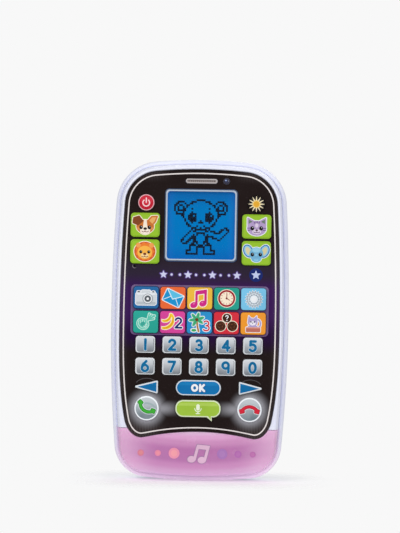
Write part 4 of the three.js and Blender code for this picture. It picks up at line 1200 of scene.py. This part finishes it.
def faceplate():
    piece = Piece("faceplate_printed")
    mat = faceplate_material()
    keys = all_key_loops()
    holes = [offset(loop, KEY_FIT) + centre for loop, centre in keys]
    holes.append(offset(rounded(SCREEN_FRAME, SCREEN_FRAME, 2.2, 8, 0, SCREEN_Z), PANEL_FIT))
    holes.append(offset(pill(16.8, 2.5), PANEL_FIT) + (0, EARPIECE_Z))
    holes.append(offset(ring_of(1.6), PANEL_FIT) + (CAMERA_X, CAMERA_Z))
    holes.append(ring_of(PINHOLE[2], 24) + PINHOLE[:2])
    piece.slab([PANEL] + [h[::-1] for h in holes], PANEL_FRONT, PANEL_BACK, mat)

    line = ink((232, 224, 221))
    piece.slab([panel_at(-1.75), panel_at(-2.4)[::-1]], PANEL_FRONT - 0.03, PANEL_FRONT + 0.02, line)

    # Pale crescents: a painted highlight on the pinhole's bevel, and a painted highlight where a raised
    # dome would shine above each arrow key.
    g = grid(4, 4)
    pinhole_highlight = cut(oval(g, 0, 0, 1.2), oval(g, 0.25, 0.25, 1.15))
    piece.prints([((120, 112, 118), pinhole_highlight)], g, PANEL_FRONT, PINHOLE[:2], 0.02)
    g = grid(16, 10)
    # Painted highlight: the shine of a dome above each arrow key.
    shine = common(np.abs(oval(g, 0, 0, 6.3, 4.5)) - 0.16, 2.2 - g[1])
    for side in (-1, 1):
        piece.prints([((84, 80, 82), shine)], g, PANEL_FRONT, (side * ARROW_X, ARROW_Z), 0.02)

    # The film behind the picture tiles, with a pale border.
    middle = (0, sum(APP_ROWS) / 2)
    g = grid(75, 29)
    tiles = both(*[bar(g, x, z - middle[1], APP_SIZE[0] + 0.5, APP_SIZE[1] + 0.5, APP_CORNER + 0.2)
        for z in APP_ROWS for x in COLUMNS])
    film = cut(bar(g, 0, 0, 73.1, 26.6, 2.2), tiles)
    rim = cut(bar(g, 0, 0, 73.1, 26.6, 2.2), bar(g, 0, 0, 72.6, 26.1, 1.95))
    piece.prints([(app_panel_material(), film), ((118, 92, 132), rim)], g, PANEL_FRONT, middle, 0.02,
        0.02)

    # Plain stars and dots in place of the title.
    g = grid(50, 6)
    stars = both(*[star(g, x, 0.85, 1.9, 0.12) for x in (-19.5, -6.5, 6.5, 19.5)])
    dots = both(*[oval(g, x, 0, 0.62) for x in (-15.2, -10.8, -2.2, 2.2, 10.8, 15.2)])
    title = both(stars, dots)
    piece.prints([((84, 60, 130), title - 0.45), ((206, 208, 236), title)], g, PANEL_FRONT, (0, 109.6))
    g = grid(9, 9)
    layers = [((14, 34, 104), oval(g, 0, 0, 3.6)), ((190, 200, 232), star(g, 0, 1.0, 2.3, 0.15))]
    piece.prints(layers, g, PANEL_FRONT, (ANIMAL_X, 110))
    piece.make("handset", ["faceplate"], "black_plastic")


def screen():
    bright = plastic("screen_frame_silver", (184, 196, 212), rough=0.28, specular=0.4)
    dim = plastic("screen_frame_edge", (92, 98, 112), rough=0.35, specular=0.3)
    outer = rounded(SCREEN_FRAME, SCREEN_FRAME, 2.2, 10, 0, SCREEN_Z)
    inner = rounded(SCREEN_GLASS, SCREEN_GLASS, 1.6, 10, 0, SCREEN_Z)
    border = outer * 0.66 + inner * 0.34
    piece = Piece("screen_frame_rounded")
    for near, far, drop, mat in ((border, outer, 0.2, dim), (inner, border, 0.0, bright)):
        front = PANEL_FRONT - 0.35 + drop
        rings = [(near, PANEL_BACK - 0.1), (far, PANEL_BACK - 0.1), (far, front + 0.3)]
        for a in np.radians(np.linspace(10, 170, 9)):
            share = (1 - math.cos(a)) / 2
            rings.append((far * (1 - share) + near * share, front + 0.3 * (1 - math.sin(a))))
        rings.append((near, front + 0.35))
        piece.loft(rings, mat, tube=True)
    piece.make("handset", ["lcd_frame"], "silver_plastic")

    display = Piece("screen_display")
    blue = screen_material()
    display.slab([rounded(40, 41, 0.4, 4, 0, SCREEN_Z)], PANEL_BACK + 0.1, -10.0, blue)
    critter_pixels(display)
    display.make("handset", ["lcd_panel"], "screen_blue")


def critter_pixels(piece):
    """An outlined bear cub in square screen dots: a design of its own."""
    pitch = 0.92
    cells = np.arange(-19, 20) * pitch
    g = np.meshgrid(cells, cells, indexing="ij")

    def rim(field):
        return np.abs(field + pitch / 2) < pitch * 0.52

    head, body = oval(g, 0, 5.9, 9.5, 8.1), bar(g, 0, -6.6, 9.0, 10.0, 3.4)
    ears = twins(oval, g, 10.4, 9.4, 3.9)
    legs = twins(bar, g, 3.6, -12.0, 4.8, 5.6, 0.8)
    feet = twins(bar, g, 4.7, -13.9, 7.0, 3.0, 0.8)
    left_arm = stroke(g, [(-4.6, -3.6), (-8.4, -8.0)], 3.8)
    right_arm = stroke(g, [(4.6, -3.6), (9.6, -5.8), (13.0, -2.6)], 3.8)
    on = rim(both(body, legs, feet, left_arm, right_arm)) & (head > 0)
    on |= rim(ears) & (head > 0)
    on |= rim(twins(oval, g, 10.6, 9.4, 2.0)) & (head > 0)
    on |= rim(head)
    on |= rim(oval(g, 0, -6.8, 3.0, 4.0))
    on |= twins(oval, g, 4.5, 4.6, 2.4, 2.8) < 0
    on &= ~(both(oval(g, -3.7, 5.6, 0.7), oval(g, 5.5, 5.6, 0.7)) < 0)
    on |= oval(g, 0, 1.9, 1.5, 0.9) < 0
    on |= stroke(g, curve(0, 1.2, 2.3, 1.9, 205, 335, 8), 0.7) < 0
    on |= stroke(g, curve(-4.5, 7.6, 2.2, 1.4, 50, 130, 5), 0.6) < 0
    on |= stroke(g, curve(4.5, 7.6, 2.2, 1.4, 50, 130, 5), 0.6) < 0
    dark = ink((0, 4, 16), rough=0.5)
    front = PANEL_BACK + 0.05
    half = pitch * 0.53
    for i, j in zip(*np.nonzero(on)):
        x, z = cells[i] - 0.2, cells[j] + SCREEN_Z - 0.4
        loop = np.array([(x - half, z - half), (x + half, z - half), (x + half, z + half),
            (x - half, z + half)])
        piece.slab([loop], front, front + 0.07, dark)


def small_front_parts():
    silver = plastic("earpiece_silver", (186, 178, 176), rough=0.3, specular=0.5)
    dark = plastic("earpiece_mesh", (70, 58, 56), rough=0.5, specular=0.2)
    piece = Piece("earpiece_with_slots")
    outer, inner = pill(16.8, 2.5), pill(15.3, 1.05)
    front = PANEL_FRONT - 0.2
    shift = (0, EARPIECE_Z)
    rings = [(inner + shift, -12.1), (outer + shift, -12.1), (outer + shift, front + 0.25),
             (offset(outer, -0.1) + shift, front + 0.07), (offset(outer, -0.25) + shift, front),
             (offset(inner, 0.12) + shift, front), (inner + shift, front + 0.12)]
    piece.loft(rings, silver, tube=True)
    g = grid(15.6, 1.4)
    holes = both(*[oval(g, x, 0, 0.3) for x in np.arange(-6.6, 6.7, 1.1)])
    piece.slab([inner + shift], -13.2, -12.6, dark)
    piece.prints([((150, 140, 138), cut(bar(g, 0, 0, 15.2, 1.0, 0.5), holes))], g, -13.2, shift, 0.02)
    piece.make("handset", ["earpiece_grille"], "silver_plastic")

    lens = Piece("camera_lens_domed")
    glass = plastic("camera_glass", (22, 26, 66), rough=0.1, specular=0.6, coat=0.6)
    ring = plastic("camera_ring", (44, 42, 58), rough=0.25)
    lens.lathe([(1.6, -12.1), (1.6, PANEL_FRONT), (1.5, PANEL_FRONT - 0.12), (1.2, PANEL_FRONT - 0.15)],
        CAMERA_X, CAMERA_Z, ring)
    dome = [(1.15 * math.cos(a), PANEL_FRONT - 0.12 - 0.2 * math.sin(a)) for a in np.linspace(0, 1.5, 7)]
    lens.lathe([(1.15, PANEL_FRONT + 0.2)] + dome, CAMERA_X, CAMERA_Z, glass)
    # A painted highlight on the lens: a small pale-blue disc that glows.
    lens.lathe([(0.34, PANEL_FRONT), (0.34, PANEL_FRONT - 0.33)], CAMERA_X - 0.35, CAMERA_Z + 0.4,
        ink((150, 176, 224), 0.2), 20)
    lens.make("handset", ["camera_lens"], "dark_lens")


def drape(piece, first, onto):
    """Moves the vertices from the first one on in Y, from the plane Y = 0 to a surface."""
    for i in range(first, len(piece.verts)):
        x, y, z = piece.verts[i]
        hit, where, _, _ = onto.ray_cast((x * MM, -0.05, z * MM), (0, 1, 0))
        if hit:
            piece.verts[i] = (x, y + where[1] / MM, z)


def chin_icons(chin):
    """Soft coloured dots and notes printed on the curved chin."""
    piece = Piece("chin_icons")
    level = 14.9
    dots = [(-30.0, 1.75, (206, 122, 144)), (-20.9, 1.65, (220, 130, 160)),
            (-12.3, 2.9, (224, 140, 164)), (13.2, 2.75, (160, 112, 172)),
            (21.6, 1.9, (170, 102, 166)), (29.4, 1.6, (176, 104, 162))]
    for x, radius, rgb in dots:
        centre = tuple(c + k for c, k in zip(rgb, (6, 12, -4) if x < 0 else (4, 6, 2)))
        for reach, colour, proud in ((radius, rgb, 0.04), (radius * 0.6, centre, 0.07)):
            first = len(piece.verts)
            rings = [(ring_of(reach * k, 36), -proud) for k in (0.02, 0.35, 0.7, 1)]
            rings.append((ring_of(reach, 36), 0.3))
            piece.loft(rings, ink(colour, 0.12), centre=(x, level))
            drape(piece, first, chin)
    g = grid(16, 14)
    notes = note_pair(g, 0.2, -0.2, 1.35, -14) - 0.15
    for rgb, field, proud in (((150, 116, 152), notes - 0.3, 0.04), ((210, 172, 196), notes, 0.07)):
        first = len(piece.verts)
        piece.slab(contours(g, field), -proud, 0.3, ink(rgb, 0.12), (0.4, level))
        drape(piece, first, chin)
    piece.make("handset", (), "pink_plastic")


# ---------------------------------------------------------------- carried-over CAD nodes

def finish_cad_nodes(lavender):
    steel = brushed_metal("plated_steel", (196, 197, 200))
    screw = brushed_metal("screw_steel", (176, 178, 182), 0.38)
    clear = plastic("screen_window", (10, 90, 150), rough=0.08, mottle=0.0, grain=0.0, specular=0.2,
        alpha=0.04)
    finishes = {"battery_cover": lavender, "battery_cover_screw": screw, "housing_screw_top_left": screw,
        "housing_screw_top_right": screw, "housing_screw_bottom_left": screw,
        "housing_screw_bottom_right": screw, "lcd_window": clear,
        "lcd_backlight": plastic("backlight_white", (226, 232, 236), rough=0.4),
        "keypad_membrane": plastic("grey_silicone", (150, 152, 160), rough=0.6, soft=0.2),
        "main_board": plastic("green_solder_mask", (30, 108, 58), rough=0.35, mottle=0.15),
        "chin_light_board": plastic("light_board_green", (34, 116, 64), rough=0.35, mottle=0.15),
        "speaker": plastic("speaker_paper", (44, 44, 48), rough=0.7, grain=0.4, grain_scale=900),
        "battery_left": plastic("battery_jacket_left", (44, 120, 76), rough=0.25, coat=0.3),
        "battery_right": plastic("battery_jacket_right", (44, 120, 76), rough=0.25, coat=0.3),
        "battery_link_contact": steel, "battery_positive_contact": steel,
        "battery_negative_contact": steel, "speaker_lead": plastic("red_lead", (180, 36, 40), rough=0.45),
        "battery_lead": plastic("red_battery_lead", (180, 36, 40), rough=0.45),
        "light_lead": plastic("yellow_lead", (206, 178, 60), rough=0.45),}
    for name, mat in finishes.items():
        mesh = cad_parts[name].data
        mesh.materials.clear()
        mesh.materials.append(mat)


# ---------------------------------------------------------------- floor, light and camera

def studio():
    floor_mat, shader, where = new_material("pale_floor")
    x, y, _ = axes(where)
    reach = distance(beyond(x, 0.03), beyond(y, 0.01))
    cloud = remap(noise(where, 6, 2), 0.3, 0.7, 0, 1)
    feed(shader, {"Base Color": blend(cloud, (0.93, 0.93, 0.93), (0.95, 0.95, 0.95)), "Roughness": 0.9,
                  "Specular IOR Level": 0.1, "Emission Color": (1, 1, 1, 1), "Emission Strength": 0.12})
    # The floor fades out away from the phone, and can't be seen from below.
    under = add_node("NewGeometry", where, {}).outputs["Backfacing"]
    fade = maths("MAXIMUM", remap(reach, 0.0, 0.05, 0, 1, True), under)
    clear = add_node("BsdfTransparent", where, {})
    mix = add_node("MixShader", where, {0: fade, 1: shader.outputs[0], 2: clear.outputs[0]})
    feed(floor_mat.node_tree.nodes["Material Output"], {"Surface": mix.outputs[0]})
    mesh = bpy.data.meshes.new("floor")
    disc = ring_of(0.1, 96)
    mesh.from_pydata([(px, py, -0.0001) for px, py in disc], [], [tuple(range(96))])
    mesh.materials.append(floor_mat)
    floor = bpy.data.objects.new("floor", mesh)
    bpy.context.scene.collection.objects.link(floor)

    world = bpy.context.scene.world or bpy.data.worlds.new("studio")
    bpy.context.scene.world = world
    world.use_nodes = True
    nodes = world.node_tree.nodes
    feed(nodes["Background"], {"Color": (0.939, 0.939, 0.939, 1), "Strength": 1.0})
    back = nodes["Background"].outputs[0]
    fill = add_node("Background", back, {"Color": (0.97, 0.975, 1.0, 1), "Strength": 0.5})
    seen = add_node("LightPath", back, {}).outputs["Is Camera Ray"]
    mix = add_node("MixShader", back, {0: seen, 1: fill.outputs[0], 2: back})
    feed(nodes["World Output"], {"Surface": mix.outputs[0]})

    def softbox(name, place, size, power, aim=(0, 0, 0.085)):
        light = bpy.data.lights.new(name, "AREA")
        light.shape, light.size, light.size_y, light.energy = "RECTANGLE", size[0], size[1], power
        obj = bpy.data.objects.new(name, light)
        obj.location = place
        direction = [a - b for a, b in zip(aim, place)]
        obj.rotation_euler = Vector(direction).to_track_quat("-Z", "Y").to_euler()
        bpy.context.scene.collection.objects.link(obj)

    softbox("key_light", (-0.75, -1.0, 0.75), (0.7, 0.7), 7.5)
    softbox("fill_light", (0.8, -1.0, 0.45), (0.8, 0.8), 6.0)
    softbox("back_light", (0.3, 0.9, 0.8), (0.9, 0.6), 2.0)

    lens = bpy.data.cameras.new("camera")
    lens.lens, lens.sensor_fit, lens.sensor_width, lens.sensor_height = 152.8, "VERTICAL", 27.0, 36.0
    lens.clip_start = 0.01
    camera = bpy.data.objects.new("camera", lens)
    camera.location = (0.0200, -1.2134, 0.1141)
    camera.rotation_euler = (math.radians(90), math.radians(-0.94), math.radians(0.964))
    bpy.context.scene.collection.objects.link(camera)
    bpy.context.scene.camera = camera
    view = bpy.context.scene.view_settings
    view.view_transform, view.look, view.exposure, view.gamma = "Standard", "None", 0.0, 1.0


lavender, chin = casing()
rear_shell(lavender)
faceplate()
screen()
small_front_parts()
digit_keys()
app_keys()
animal_keys()
control_keys()
chin_icons(chin)
finish_cad_nodes(lavender)
studio()

bpy.context.view_layer.update()
